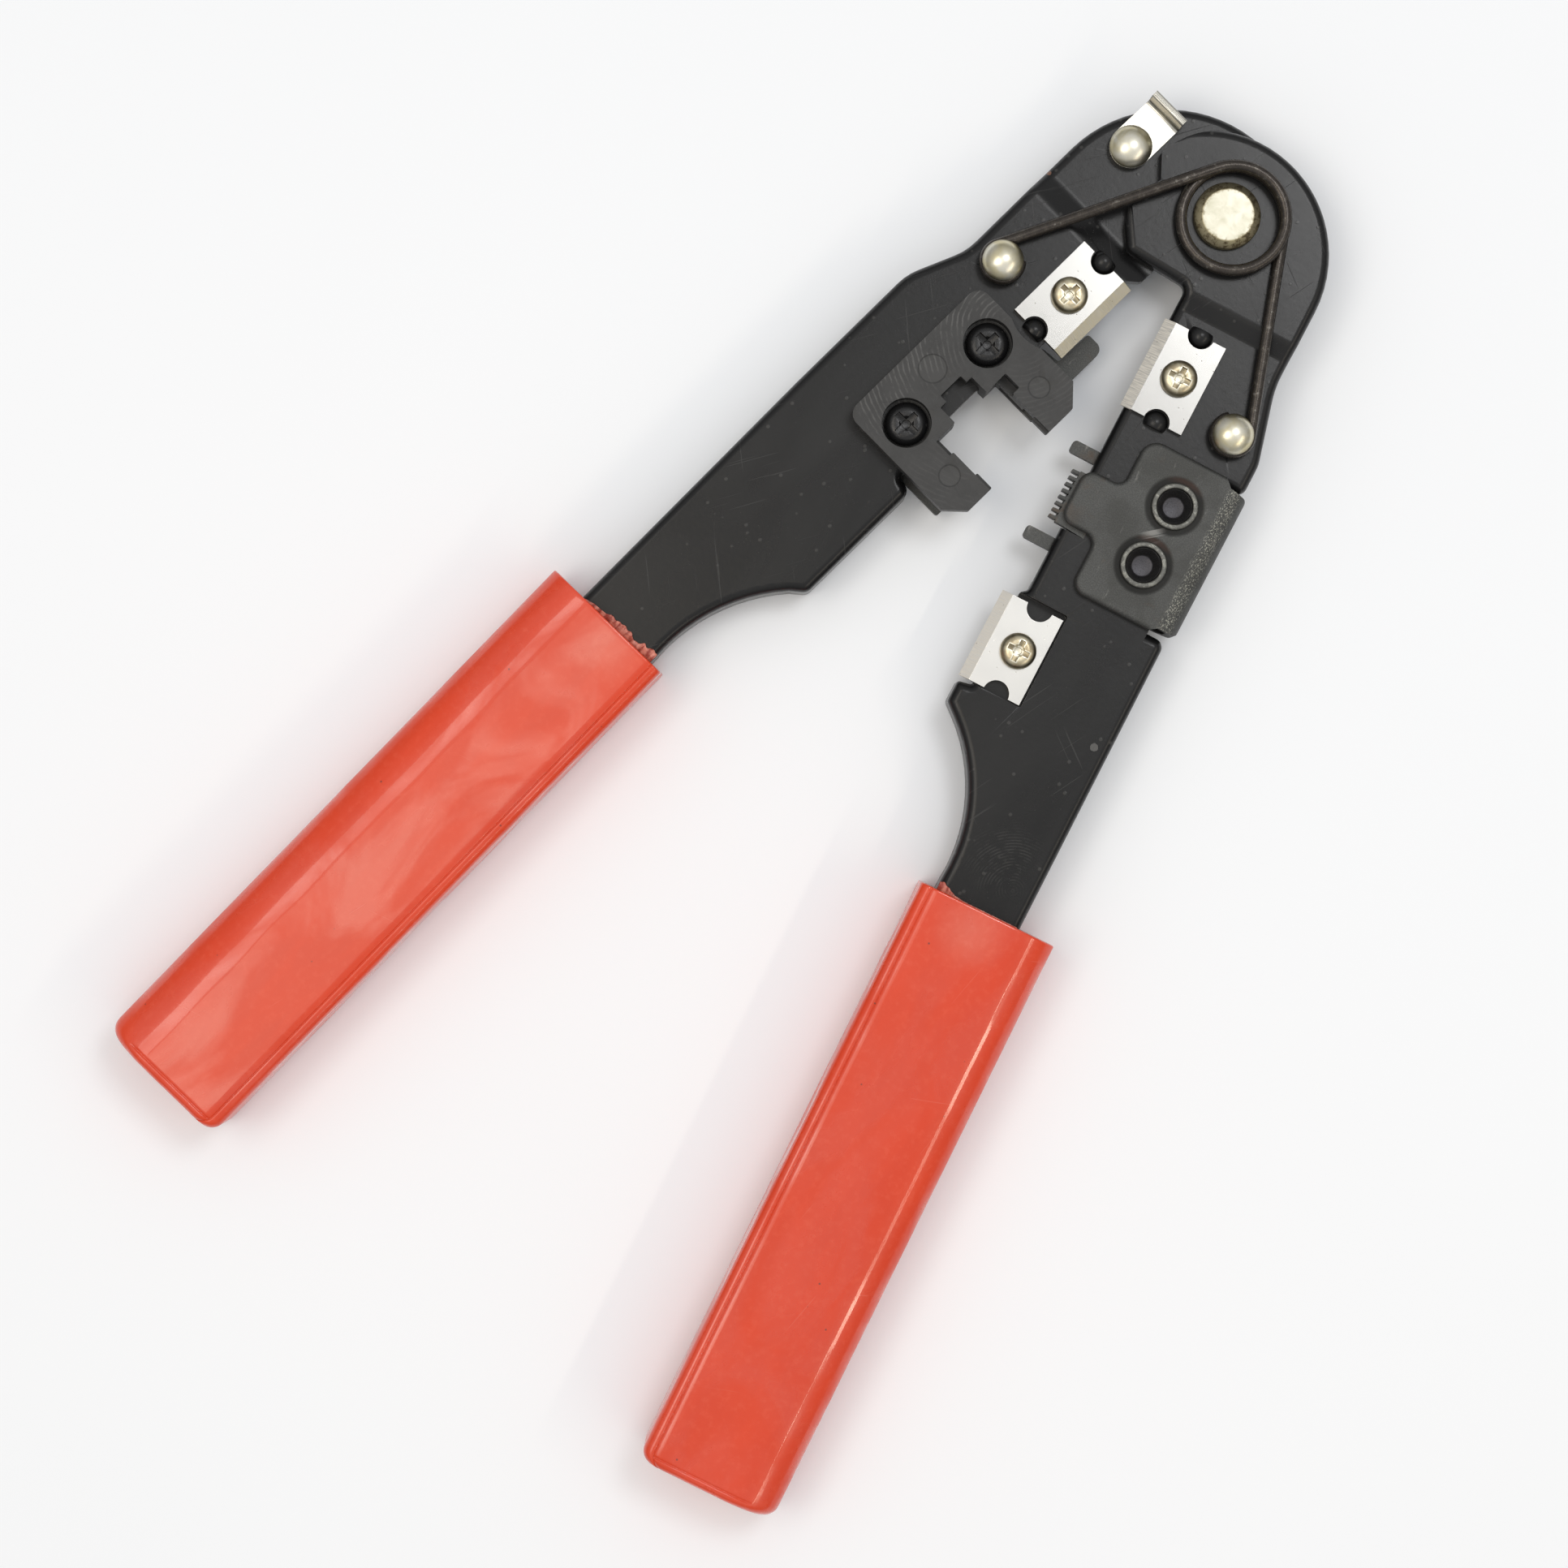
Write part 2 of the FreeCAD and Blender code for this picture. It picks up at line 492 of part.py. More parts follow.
def punch_bracket():
    """U-shaped clamp folded round the punch arm's outer edge."""
    fold_x, inner_x = 21.4, 4.7
    front = outline(
        (fold_x, -56.3, 0.8), (fold_x, -34.4, 0.8), (18.4, -34.0), (17.2, -32.8), (inner_x, -32.8, 2.5),
        (inner_x, -40.8, 1.6), (-1.2, -40.8, 2.0), (-1.2, -49.1, 2.0), (inner_x, -49.1, 1.6),
        (inner_x, -57.2, 2.2), (17.2, -57.2), (18.4, -56.4))
    back = outline((fold_x, -56.3, 0.8), (fold_x, -34.4, 0.8), (18.4, -34.0), (6.5, -34.0, 2),
                   (6.5, -56.4, 2), (18.4, -56.4))
    top = WEB_Z + LEAF_T
    loop = outline((0, LEAF_BACK_Z), (fold_x, LEAF_BACK_Z, 3.2), (fold_x, top, 3.2), (-5, top),
                   (-5, top - LEAF_T), (fold_x - LEAF_T, top - LEAF_T, 1.6), (fold_x - LEAF_T, LEAF_BACK_Z + LEAF_T, 1.6),
                   (0, LEAF_BACK_Z + LEAF_T))
    face = Part.Face(loop)
    face.rotate(V(0, 0, 0), V(1, 0, 0), 90)
    strip = face.extrude(V(0, -80, 0))
    middle = (top + LEAF_BACK_Z) / 2
    bracket = strip.common(prism(front, middle, 20)).fuse(strip.common(prism(back, -5, middle)))
    bracket = bracket.removeSplitter()
    bracket = rounded(bracket, 0.7, lambda p: p.z > 10.5 and p.x < 17.0)
    for x, y in BRACKET_RIVETS:
        bracket = bracket.cut(rod(x, y, 3.0, -5, 20))
    return bracket


def bracket_rivets():
    """Hollow rivets, their ends rolled over into rings."""
    z0, z1 = LEAF_BACK_Z, WEB_Z + LEAF_T
    rivets = []
    for x, y in BRACKET_RIVETS:
        wall = outline((2.45, z0 - 0.7), (3.3, z0 - 0.7, 0.3), (3.3, z0), (3.0, z0), (3.0, z1), (3.35, z1),
                       (3.35, z1 + 0.65, 0.3), (2.6, z1 + 0.65, 0.2), (2.45, z1 - 0.4))
        rivets.append(disc(x, y, wall).fuse(rod(x, y, 2.45, 6.2, 7.6)).removeSplitter())
    return Part.makeCompound(rivets)


# ---- pivot, posts, latch, spring ----------------------------------------------------------------
def pivot_rivet():
    seat = PUNCH_HEAD_Z + 0.1
    head_back = DIE_HEAD_Z - DIE_SHEET - 1.4
    return disc(0, 0, outline(
        (0, 0), (PIVOT_REAR_R - 0.5, 0), (PIVOT_REAR_R, 0.5), (PIVOT_REAR_R, head_back), (PIVOT_R, head_back),
        (PIVOT_R, seat), (PIVOT_HEAD_R, seat), (PIVOT_HEAD_R, PIVOT_TOP_Z - 0.9, 0.4),
        (3.7, PIVOT_TOP_Z, 0.3), (0, PIVOT_TOP_Z)))


def pivot_washer():
    back = DIE_HEAD_Z - DIE_SHEET
    return disc(0, 0, outline((PIVOT_R, back - 1.4), (7.4, back - 1.4), (7.4, back), (PIVOT_R, back)))


def latch_rivet():
    x, y = LATCH_PIVOT
    return dome_rivet(x, y, 3.06, DIE_HEAD_Z + 1.55, 1.7, POST_SHANK_R, DIE_HEAD_Z - DIE_SHEET - 1.0)


def latch_plate():
    """Flat latch with a bent-up finger tab. It swings on its rivet to hold the handles shut."""
    x, y = LATCH_PIVOT
    z0, z1 = DIE_HEAD_Z + 0.05, DIE_HEAD_Z + 1.5
    plan = outline((x - 3.05, y), ("via", x, y - 3.05), (x + 3.05, y), (x + 3.1, 4.2, 0.4),
                   (x - 2.9, 4.6, 0.4))
    plate = prism(plan, z0, z1)
    tab = slab(outline((3.2, z1 - 1.4), (4.9, z1 - 1.4, 0.9), (5.3, z1 + 2.6, 0.3), (4.2, z1 + 2.8, 0.3),
                       (3.8, z1, 0.5), (3.2, z1)), x - 2.9, x + 3.1)
    plate = plate.cut(box(x - 5, x + 5, 3.6, 8, 0, 20)).fuse(tab).removeSplitter()
    return plate.cut(rod(x, y, POST_SHANK_R + RUN_CLEARANCE, 0, 20))


def turned(point, degrees):
    a = math.radians(degrees)
    return (point[0] * math.cos(a) - point[1] * math.sin(a), point[0] * math.sin(a) + point[1] * math.cos(a))


def spring_legs():
    """Both legs in plan, as (post, tangent angle, end on the post's hook, end on the coil). Each leg
    passes outside its post and the coil."""
    legs = []
    for post, side in ((DIE_POST, 1), (turned(PUNCH_POST, OPEN_ANGLE), -1)):
        dx, dy = COIL_CENTRE[0] - post[0], COIL_CENTRE[1] - post[1]
        closing = math.asin((COIL_R - HOOK_R) / math.hypot(dx, dy))
        lean = math.degrees(math.atan2(dy, dx) + side * (math.pi / 2 + closing))
        legs.append((post, lean, on_circle(post, HOOK_R, lean), on_circle(COIL_CENTRE, COIL_R, lean)))
    return legs


def eased(z0, z1, along):
    """Height on the way from z0 to z1, level at both ends."""
    return z0 + (z1 - z0) * (1 - math.cos(math.pi * along)) / 2


def round_route(centre, radius, start, sweep, z0, z1):
    """Corners of the straight runs that touch a circle, clockwise from start, on the way from z0 to z1."""
    count = math.ceil(sweep / SPRING_STEP)
    half = math.radians(sweep / count / 2)
    corners = []
    for i in range(count):
        along = (i + 0.5) / count
        x, y = on_circle(centre, radius / math.cos(half), start - along * sweep)
        corners.append(V(x, y, eased(z0, z1, along)))
    return corners


def wire_path(points):
    """Straight runs with a tangent arc at each corner, as large as the shorter run beside it allows."""
    edges, last = [], points[0]
    for before, corner, after in zip(points, points[1:], points[2:]):
        back, ahead = (before - corner).normalize(), (after - corner).normalize()
        reach = SPRING_REACH * min(before.distanceToPoint(corner), after.distanceToPoint(corner))
        half = back.getAngle(ahead) / 2
        depth = reach / math.cos(half) - reach * math.tan(half)
        entry, leave = corner + back * reach, corner + ahead * reach
        edges.append(Part.makeLine(last, entry))
        edges.append(Part.Arc(entry, corner + (back + ahead).normalize() * depth, leave).toShape())
        last = leave
    edges.append(Part.makeLine(last, points[-1]))
    return Part.Wire(edges)


def torsion_spring():
    """One wire: hook round the die arm's post, leg, coil round the pivot, leg, hook."""
    (post_a, lean_a, *_), (post_b, lean_b, *_) = spring_legs()
    coil_turn = (lean_a - lean_b) % 360 + 360
    hook_a = lean_a + HOOK_TURN
    points = [V(*on_circle(post_a, HOOK_R, hook_a), DIE_HOOK_Z)]
    points += round_route(post_a, HOOK_R, hook_a, HOOK_TURN, DIE_HOOK_Z, DIE_HOOK_Z)
    points += round_route(COIL_CENTRE, COIL_R, lean_a, coil_turn, COIL_HIGH_Z, COIL_LOW_Z)
    points += round_route(post_b, HOOK_R, lean_b, HOOK_TURN, PUNCH_HOOK_Z, PUNCH_HOOK_Z)
    points.append(V(*on_circle(post_b, HOOK_R, lean_b - HOOK_TURN), PUNCH_HOOK_Z))
    path = wire_path(points)
    section = Part.Wire([Part.makeCircle(WIRE_R, points[0], points[1] - points[0])])
    spring = path.makePipeShell([section], True, False)
    swept = math.pi * WIRE_R ** 2 * path.Length
    print("spring: volume over section times length =", round(spring.Volume / swept, 4))
    return spring


def spring_post(x, y, wire_z):
    return dome_rivet(x, y, POST_DOME_R, wire_z + WIRE_R + 0.1, 1.75, POST_SHANK_R, WEB_Z - PUNCH_SHEET - 1.0)


# ---- assembly -----------------------------------------------------------------------------------
def build():
    die_wire, punch_wire = die_arm_outline(), punch_arm_outline()
    parts = {
        "die_arm": die_arm(),
        "die_arm_grip": grip(-103.3, -31.1, -194.6, -1, tang_space(die_wire)),
        "crimp_die": crimp_die(),
        "die_backing_plate": die_backing_plate(),
        "die_spacers": die_spacers(),
        "die_screws": die_screws(),
        "die_nuts": die_nuts(),
        "die_strip_blade": die_strip_blade(),
        "die_blade_screw": blade_screw(*STRIP_DIE_SCREW, WEB_Z),
        "die_blade_nut": blade_nut(*STRIP_DIE_SCREW, WEB_Z - DIE_SHEET),
        "die_spring_post": spring_post(*DIE_POST, DIE_HOOK_Z),
        "pivot_rivet": pivot_rivet(),
        "pivot_washer": pivot_washer(),
        "latch_rivet": latch_rivet(),
        "latch_plate": latch_plate(),
        "torsion_spring": torsion_spring(),
    }
    punch_side = {
        "punch_arm": punch_arm(),
        "punch_arm_grip": grip(-103.3, 26.4, -194.4, 1, tang_space(punch_wire)),
        "punch_strip_blade": punch_strip_blade(),
        "cutter_blade": cutter_blade(),
        "punch_blade_screws": Part.makeCompound([blade_screw(*STRIP_PUNCH_SCREW, WEB_Z),
                                                 blade_screw(*CUTTER_SCREW, SEAT_Z)]),
        "punch_blade_nuts": Part.makeCompound([blade_nut(*STRIP_PUNCH_SCREW, WEB_Z - PUNCH_SHEET),
                                               blade_nut(*CUTTER_SCREW, SEAT_Z - PUNCH_SHEET)]),
        "punch_spring_post": spring_post(*PUNCH_POST, PUNCH_HOOK_Z),
        "punch_bracket": punch_bracket(),
        "bracket_rivets": bracket_rivets(),
        "contact_comb": contact_comb(),
        "guide_plate": guide_plate(),
        "strain_relief_punch": strain_relief_punch(),
    }
    for name, shape in punch_side.items():
        parts[name] = shape.copy()
        parts[name].rotate(V(0, 0, 0), V(0, 0, 1), OPEN_ANGLE)
    return parts


def main():
    os.makedirs("parts", exist_ok=True)
    for name, shape in build().items():
        problem = "" if shape.isValid() else "NOT VALID"
        print(f"{name:22s} solids {len(shape.Solids)} volume {shape.Volume:9.1f} {problem}")
        shape.exportStep(f"parts/{name}.step")


if __name__ == "__main__":
    main()
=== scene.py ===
import math
from typing import NamedTuple

import bmesh
import bpy
from bpy.props import FloatProperty, FloatVectorProperty, PointerProperty
from mathutils import Matrix, Vector, noise


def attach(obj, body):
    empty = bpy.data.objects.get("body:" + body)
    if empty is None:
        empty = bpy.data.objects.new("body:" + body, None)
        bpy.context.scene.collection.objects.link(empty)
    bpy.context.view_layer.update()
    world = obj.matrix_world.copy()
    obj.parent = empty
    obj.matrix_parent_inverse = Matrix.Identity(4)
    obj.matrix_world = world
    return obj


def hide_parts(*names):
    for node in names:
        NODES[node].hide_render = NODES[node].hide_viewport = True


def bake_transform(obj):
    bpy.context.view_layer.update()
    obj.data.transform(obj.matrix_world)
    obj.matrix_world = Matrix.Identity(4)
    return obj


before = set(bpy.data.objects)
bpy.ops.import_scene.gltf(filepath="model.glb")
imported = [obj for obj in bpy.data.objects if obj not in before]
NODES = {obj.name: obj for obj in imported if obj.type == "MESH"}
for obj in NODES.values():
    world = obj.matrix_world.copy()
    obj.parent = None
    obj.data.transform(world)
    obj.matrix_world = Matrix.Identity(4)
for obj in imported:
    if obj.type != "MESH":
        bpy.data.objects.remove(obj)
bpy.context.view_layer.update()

bl_info = {
    "name": "Modular plug crimping tool",
    "version": (1, 0, 0),
    "blender": (4, 5, 0),
    "location": "View3D > Sidebar > Crimper",
    "description": "Finishes a pressed-steel crimping tool: enamel, grips, die, blades, spring and stage",
    "category": "Object",
}

MM = 0.001
OPEN_ANGLE = math.radians(18)         # the punch arm's parts are drawn closed and turned open


# ---- shader helpers -----------------------------------------------------------------------------
class Socket:
    """An output socket that takes part in arithmetic; each operation adds a Math node."""

    def __init__(self, finish, output):
        self.finish = finish
        self.output = output

    def maths(self, operation, *others):
        """Any operation of a Math node, with this socket as its first value."""
        return self.finish.maths(operation, self, *others)

    def __add__(self, other):
        return self.maths("ADD", other)

    def __sub__(self, other):
        return self.maths("SUBTRACT", other)

    def __mul__(self, other):
        return self.maths("MULTIPLY", other)

    def __rsub__(self, other):
        return self.finish.maths("SUBTRACT", other, self)

    __radd__ = __add__
    __rmul__ = __mul__

    def over(self, low, high):
        """0 below low, 1 above high, smooth between; low may be the larger."""
        return self.finish.node("ShaderNodeMapRange", {"interpolation_type": "SMOOTHSTEP"},
                                {"Value": self, "From Min": low, "From Max": high})


class Finish:
    """The node tree of a material or a world, with coordinates in millimetres."""

    def __init__(self, name, family="materials"):
        self.owner = getattr(bpy.data, family).new(name)
        self.owner.use_nodes = True
        self.tree = self.owner.node_tree
        self.tree.nodes.clear()

    def node(self, kind, settings, inputs, output=0):
        """Any node: its type, its settings, then the values or links of its sockets."""
        made = self.tree.nodes.new(kind)
        for key, value in settings.items():
            setattr(made, key, value)
        for key, value in inputs.items():
            if isinstance(value, Socket):
                self.tree.links.new(value.output, made.inputs[key])
            elif value is not None:
                made.inputs[key].default_value = value
        return Socket(self, made.outputs[output]) if made.outputs else None

    def maths(self, operation, *values):
        """A Math node on sockets or plain numbers."""
        return self.node("ShaderNodeMath", {"operation": operation}, dict(enumerate(values)))

    def place(self, turn=0.0, stretch=(1, 1, 1)):
        """Where a point is in millimetres, in the arm's own frame, with an optional stretch."""
        spot = self.node("ShaderNodeTexCoord", {}, {}, output="Object")
        spot = self.node("ShaderNodeVectorRotate", {"rotation_type": "Z_AXIS"},
                         {"Vector": spot, "Angle": -turn})
        scale = tuple(1000 * s for s in stretch)
        return self.node("ShaderNodeVectorMath", {"operation": "MULTIPLY"}, {0: spot, 1: scale})

    def split(self, spot):
        """The three coordinates of a point."""
        first = self.node("ShaderNodeSeparateXYZ", {}, {"Vector": spot})
        return [Socket(self, output) for output in first.output.node.outputs]

    def speckle(self, spot, scale, detail=3.0, rough=0.55, warp=0.0):
        """Cloudy noise from 0 to 1, with scale in features per millimetre."""
        return self.node("ShaderNodeTexNoise", {"noise_dimensions": "3D"},
                         {"Vector": spot, "Scale": scale, "Detail": detail, "Roughness": rough,
                          "Distortion": warp})

    def cells(self, spot, scale, jitter=1.0):
        """Distance to the nearest of some scattered points."""
        return self.node("ShaderNodeTexVoronoi", {"feature": "F1"},
                         {"Vector": spot, "Scale": scale, "Randomness": jitter})

    def reach(self, spot, x, y):
        """Distance in plan from a point, in millimetres."""
        px, py, _ = self.split(spot)
        dx, dy = px - x, py - y
        return self.maths("SQRT", dx * dx + dy * dy)

    def near(self, spot, x, y, inner, outer):
        """1 within inner millimetres of a point in plan, 0 beyond outer."""
        return self.reach(spot, x, y).over(outer, inner)

    def mix(self, factor, a, b):
        """Colour a where factor is 0, b where it is 1."""
        wide = [c if isinstance(c, Socket) else (*c, 1) for c in (a, b)]
        return self.node("ShaderNodeMix", {"data_type": "RGBA", "clamp_factor": True},
                         {0: factor, 6: wide[0], 7: wide[1]}, output=2)

    def bump(self, height, depth):
        """Normals from a height of which 1 stands for depth millimetres."""
        return self.node("ShaderNodeBump", {}, {"Strength": 1.0, "Distance": depth * MM, "Height": height})

    def from_point(self, spot, point):
        """The vector from a fixed point, in millimetres."""
        return self.node("ShaderNodeVectorMath", {"operation": "SUBTRACT"}, {0: spot, 1: point})

    def done(self, colour, rough, normal=None, metallic=0.0, **sockets):
        """Closes the material with its shader and returns it."""
        inputs = {"Base Color": colour, "Roughness": rough, "Metallic": metallic, "Normal": normal}
        inputs.update(sockets)
        shader = self.node("ShaderNodeBsdfPrincipled", {}, inputs)
        self.node("ShaderNodeOutputMaterial", {}, {"Surface": shader})
        return self.owner


def scratches(finish, spot, angle, density, thin):
    """Fine straight hair scratches in one direction, as a mask."""
    lines = finish.node("ShaderNodeVectorRotate", {"rotation_type": "Z_AXIS"},
                        {"Vector": spot, "Angle": angle})
    lines = finish.node("ShaderNodeVectorMath", {"operation": "MULTIPLY"},
                        {0: lines, 1: (density, 0.06, 0.3)})
    hair = finish.speckle(lines, 1.0, detail=2.0, rough=0.4)
    return hair.over(thin, thin + 0.04)


# ---- finishes -----------------------------------------------------------------------------------
ENAMEL_SHINE = 0.34
CHIP_LOW, CHIP_HIGH = 6.8, 7.4        # chips show only above this height


class Chip(NamedTuple):
    """A place where the enamel came off."""
    x: float
    y: float
    size: float
    bare: tuple


DIE_ARM_CHIP = Chip(-22.3, -13.2, 0.45, (0.15, 0.07, 0.042))
PUNCH_ARM_CHIP = Chip(18.3, -75.5, 0.8, (0.09, 0.088, 0.085))
FINGER_MIDDLE = (17.5, -99.0, 9.5)    # middle of the rings in the fingerprint
FINGER_SPOT = (14.5, -95.5)


def black_enamel(name, turn, colour, chip):
    """Stoved black enamel on pressed steel: orange peel, dust nibs, smears, hair scratches, a chip."""
    f = Finish(name)
    spot = f.place(turn)
    _, _, high = f.split(spot)
    peel = f.speckle(spot, 1.3, detail=2.0)
    grain = f.speckle(spot, 7.0, detail=2.0)
    smear = f.speckle(f.place(turn, (0.09, 0.03, 0.09)), 1.0, detail=4.0, warp=0.6)
    nibs = f.cells(spot, 0.42).over(0.14, 0.07)
    dust = f.cells(spot, 1.7).over(0.1, 0.04) * f.speckle(spot, 0.11).over(0.5, 0.62)
    hairs = scratches(f, spot, 0.5, 3.2, 0.7) + scratches(f, spot, -0.9, 2.6, 0.72)
    deep = tuple(c * 0.62 for c in colour)
    base = f.mix(smear.over(0.3, 0.72), deep, colour)
    base = f.mix(nibs * 0.22 + dust * 0.4, base, (0.13, 0.127, 0.12))
    base = f.mix(hairs * 0.16, base, (0.1, 0.1, 0.098))
    rough = 0.2 + smear * 0.16 + dust * 0.2 + hairs * 0.12
    height = peel * 0.5 + grain * 0.22 + nibs * 0.4 - hairs * 0.18
    ragged = f.near(spot, chip.x, chip.y, chip.size * 0.5, chip.size) + (f.speckle(spot, 2.4) - 0.5) * 0.9
    gone = ragged.over(0.5, 0.62) * high.over(CHIP_LOW, CHIP_HIGH)
    base = f.mix(gone, base, chip.bare)
    height = height - gone * 0.8
    return f, spot, base, rough, height


def die_arm_enamel(look):
    """The die arm, chipped beside its head."""
    f, _, base, rough, height = black_enamel("die arm enamel", 0.0, look.enamel, DIE_ARM_CHIP)
    return f.done(base, rough, f.bump(height, 0.022), **{"Specular IOR Level": ENAMEL_SHINE})


def punch_arm_enamel(look):
    """The punch arm, with fingerprints and hair scratches in front of its grip."""
    f, spot, base, rough, height = black_enamel(
        "punch arm enamel", OPEN_ANGLE, look.enamel, PUNCH_ARM_CHIP)
    swirl = f.node("ShaderNodeTexWave",
                   {"wave_type": "RINGS", "rings_direction": "Z", "wave_profile": "SIN"},
                   {"Vector": f.from_point(spot, FINGER_MIDDLE), "Scale": 0.72, "Distortion": 3.2,
                    "Detail": 2.0, "Detail Scale": 0.2})
    print_area = f.near(spot, *FINGER_SPOT, 2.0, 6.5) * f.speckle(spot, 0.8).over(0.4, 0.62)
    ridges = swirl.over(0.5, 0.8) * print_area
    base = f.mix(ridges * 0.15, base, (0.1, 0.098, 0.094))
    rough = rough + ridges * 0.1
    return f.done(base, rough, f.bump(height, 0.022), **{"Specular IOR Level": ENAMEL_SHINE})


def grip_pvc(look, grip):
    """Glossy dipped PVC, slightly uneven, with scuffs, flow streaks, dark specks and a pale
    painted highlight patch near the mouth."""
    f = Finish(grip.arm + " grip PVC")
    turn = grip.turn
    spot = f.place(turn)
    cloud = f.speckle(f.place(turn, (0.2, 0.07, 0.2)), 1.0, detail=5.0, warp=0.4)
    mottle = f.speckle(spot, 1.1, detail=4.0)
    pores = f.speckle(spot, 6.0, detail=2.0)
    specks = f.cells(spot, 0.24).over(0.05, 0.02)
    scuffs = scratches(f, spot, 0.22, 3.0, 0.735) + scratches(f, spot, 1.25, 2.4, 0.75)
    # a pale patch near the mouth, painted on as a highlight
    thin = f.near(spot, *grip.sheen_patch, 0.5, 6.5) * (0.6 + mottle * 0.6)
    dull = f.speckle(f.place(turn, (0.1, 0.05, 0.1)), 1.0, detail=3.0, warp=0.9).over(0.38, 0.62)
    base = f.mix(cloud.over(0.25, 0.75), look.grip_deep, look.grip)
    base = f.mix(mottle.over(0.45, 0.85) * 0.16, base, (0.86, 0.17, 0.09))
    base = f.mix(thin * 0.16, base, (0.9, 0.46, 0.36))
    base = f.mix(scuffs * 0.13, base, (0.9, 0.33, 0.24))
    base = f.mix(specks * 0.8, base, (0.13, 0.03, 0.02))
    rough = 0.16 + cloud * 0.12 + dull * 0.12 + mottle * 0.06 + scuffs * 0.1
    height = mottle * 0.3 + pores * 0.05 + cloud * 0.5 - scuffs * 0.12
    gloss = {"Specular IOR Level": 0.42, "Coat Weight": 0.88 - dull * 0.62, "Coat Roughness": 0.055}
    return f.done(base, rough, f.bump(height, 0.026), **gloss)


def flash_pvc(grip):
    """The thin ragged skin where PVC crept out of the mould along the arm: paler and half clear."""
    f = Finish(grip.arm + " grip flash")
    spot = f.place(grip.turn)
    streak = f.speckle(f.place(grip.turn, (1.4, 0.5, 1)), 1.0, detail=3.0)
    base = f.mix(streak.over(0.35, 0.62), (0.4, 0.055, 0.035), (0.82, 0.3, 0.22))
    ripple = f.speckle(spot, 2.2)
    return f.done(base, 0.2 + ripple * 0.2, f.bump(ripple, 0.1), Alpha=0.7 + streak * 0.4)


EJECTOR_MARKS = ((-13.7, -45.2, 2.05), (-1.25, -36.3, 1.55), (-1.2, -54.1, 1.55))  # x, y, radius
MOULD_GATE = (-9.0, -33.0, 13.0)      # where the plastic ran into the mould


def moulded_plastic(look):
    """Dark glass-filled plastic with swirled flow marks, pale fibre specks and ejector rings, each outlined
    in painted shade.
    """
    f = Finish("moulded die plastic")
    spot = f.place()
    flow = f.node("ShaderNodeTexWave", {"wave_type": "RINGS", "rings_direction": "Z"},
                  {"Vector": f.from_point(spot, MOULD_GATE), "Scale": 0.42, "Distortion": 7.0,
                   "Detail": 4.0, "Detail Scale": 0.26, "Detail Roughness": 0.6})
    px, py, _ = f.split(spot)
    ears = px.over(-9.5, -15.5) + (px.over(-8.0, -3.0) + py.over(-33.5, -31.5)) * 0.25
    marks = flow.over(0.62, 0.95) * ears * f.speckle(spot, 0.5).over(0.38, 0.6)
    fibres = f.cells(spot, 2.6).over(0.12, 0.05)
    grain = f.speckle(spot, 4.5, detail=4.0)
    cloud = f.speckle(spot, 0.35, detail=4.0)
    base = f.mix(cloud.over(0.3, 0.7), tuple(c * 0.7 for c in look.plastic), look.plastic)
    base = f.mix(marks * 0.42 + fibres * 0.4, base, (0.1, 0.098, 0.094))
    for x, y, r in EJECTOR_MARKS:
        reach = f.reach(spot, x, y)
        # the dark rim round each ejector mark is painted shade along its edge
        rim = reach.over(r - 0.2, r - 0.06) * reach.over(r + 0.14, r + 0.02)
        base = f.mix(reach.over(r, r - 0.1) * 0.25, base, (0.055, 0.055, 0.053))
        base = f.mix(rim * 0.75, base, (0.008, 0.008, 0.008))
    rough = 0.46 + grain * 0.14 - marks * 0.12
    return f.done(base, rough, f.bump(grain * 0.5 + marks * 0.3 - fibres * 0.2, 0.03))


def phosphate(name, turn, look, browned=0.0):
    """Phosphated steel: dark crystalline grey with brown bloom and pale rubbed patches."""
    f = Finish(name)
    spot = f.place(turn)
    crystal = f.cells(spot, 3.4)
    fine = f.speckle(spot, 5.5, detail=5.0, rough=0.7)
    bloom = f.speckle(spot, 0.24, detail=4.0, warp=0.8)
    rub = f.speckle(f.place(turn, (0.9, 0.22, 0.9)), 1.0, detail=5.0, rough=0.7)
    base = f.mix(fine.over(0.35, 0.7), tuple(c * 0.55 for c in look.phosphate), look.phosphate)
    base = f.mix(bloom.over(0.6 - browned, 0.82 - browned) * 0.6, base, (0.085, 0.055, 0.036))
    rubbed = rub.over(0.6, 0.74)
    base = f.mix(rubbed * 0.35, base, (0.3, 0.29, 0.27))
    rough = 0.4 + fine * 0.22 - rubbed * 0.12
    return f, spot, base, rough, fine * 0.5 + crystal * 0.4


def phosphate_plain(name, turn, look, browned=0.0):
    """Plates and comb: phosphated steel without any special wear."""
    f, _, base, rough, height = phosphate(name, turn, look, browned)
    return f.done(base, rough, f.bump(height, 0.03), metallic=0.55)


BRACKET_RIVETS = ((12.5, -40.0), (12.4, -49.4))
BETWEEN_RIVETS = (11.3, -44.5)


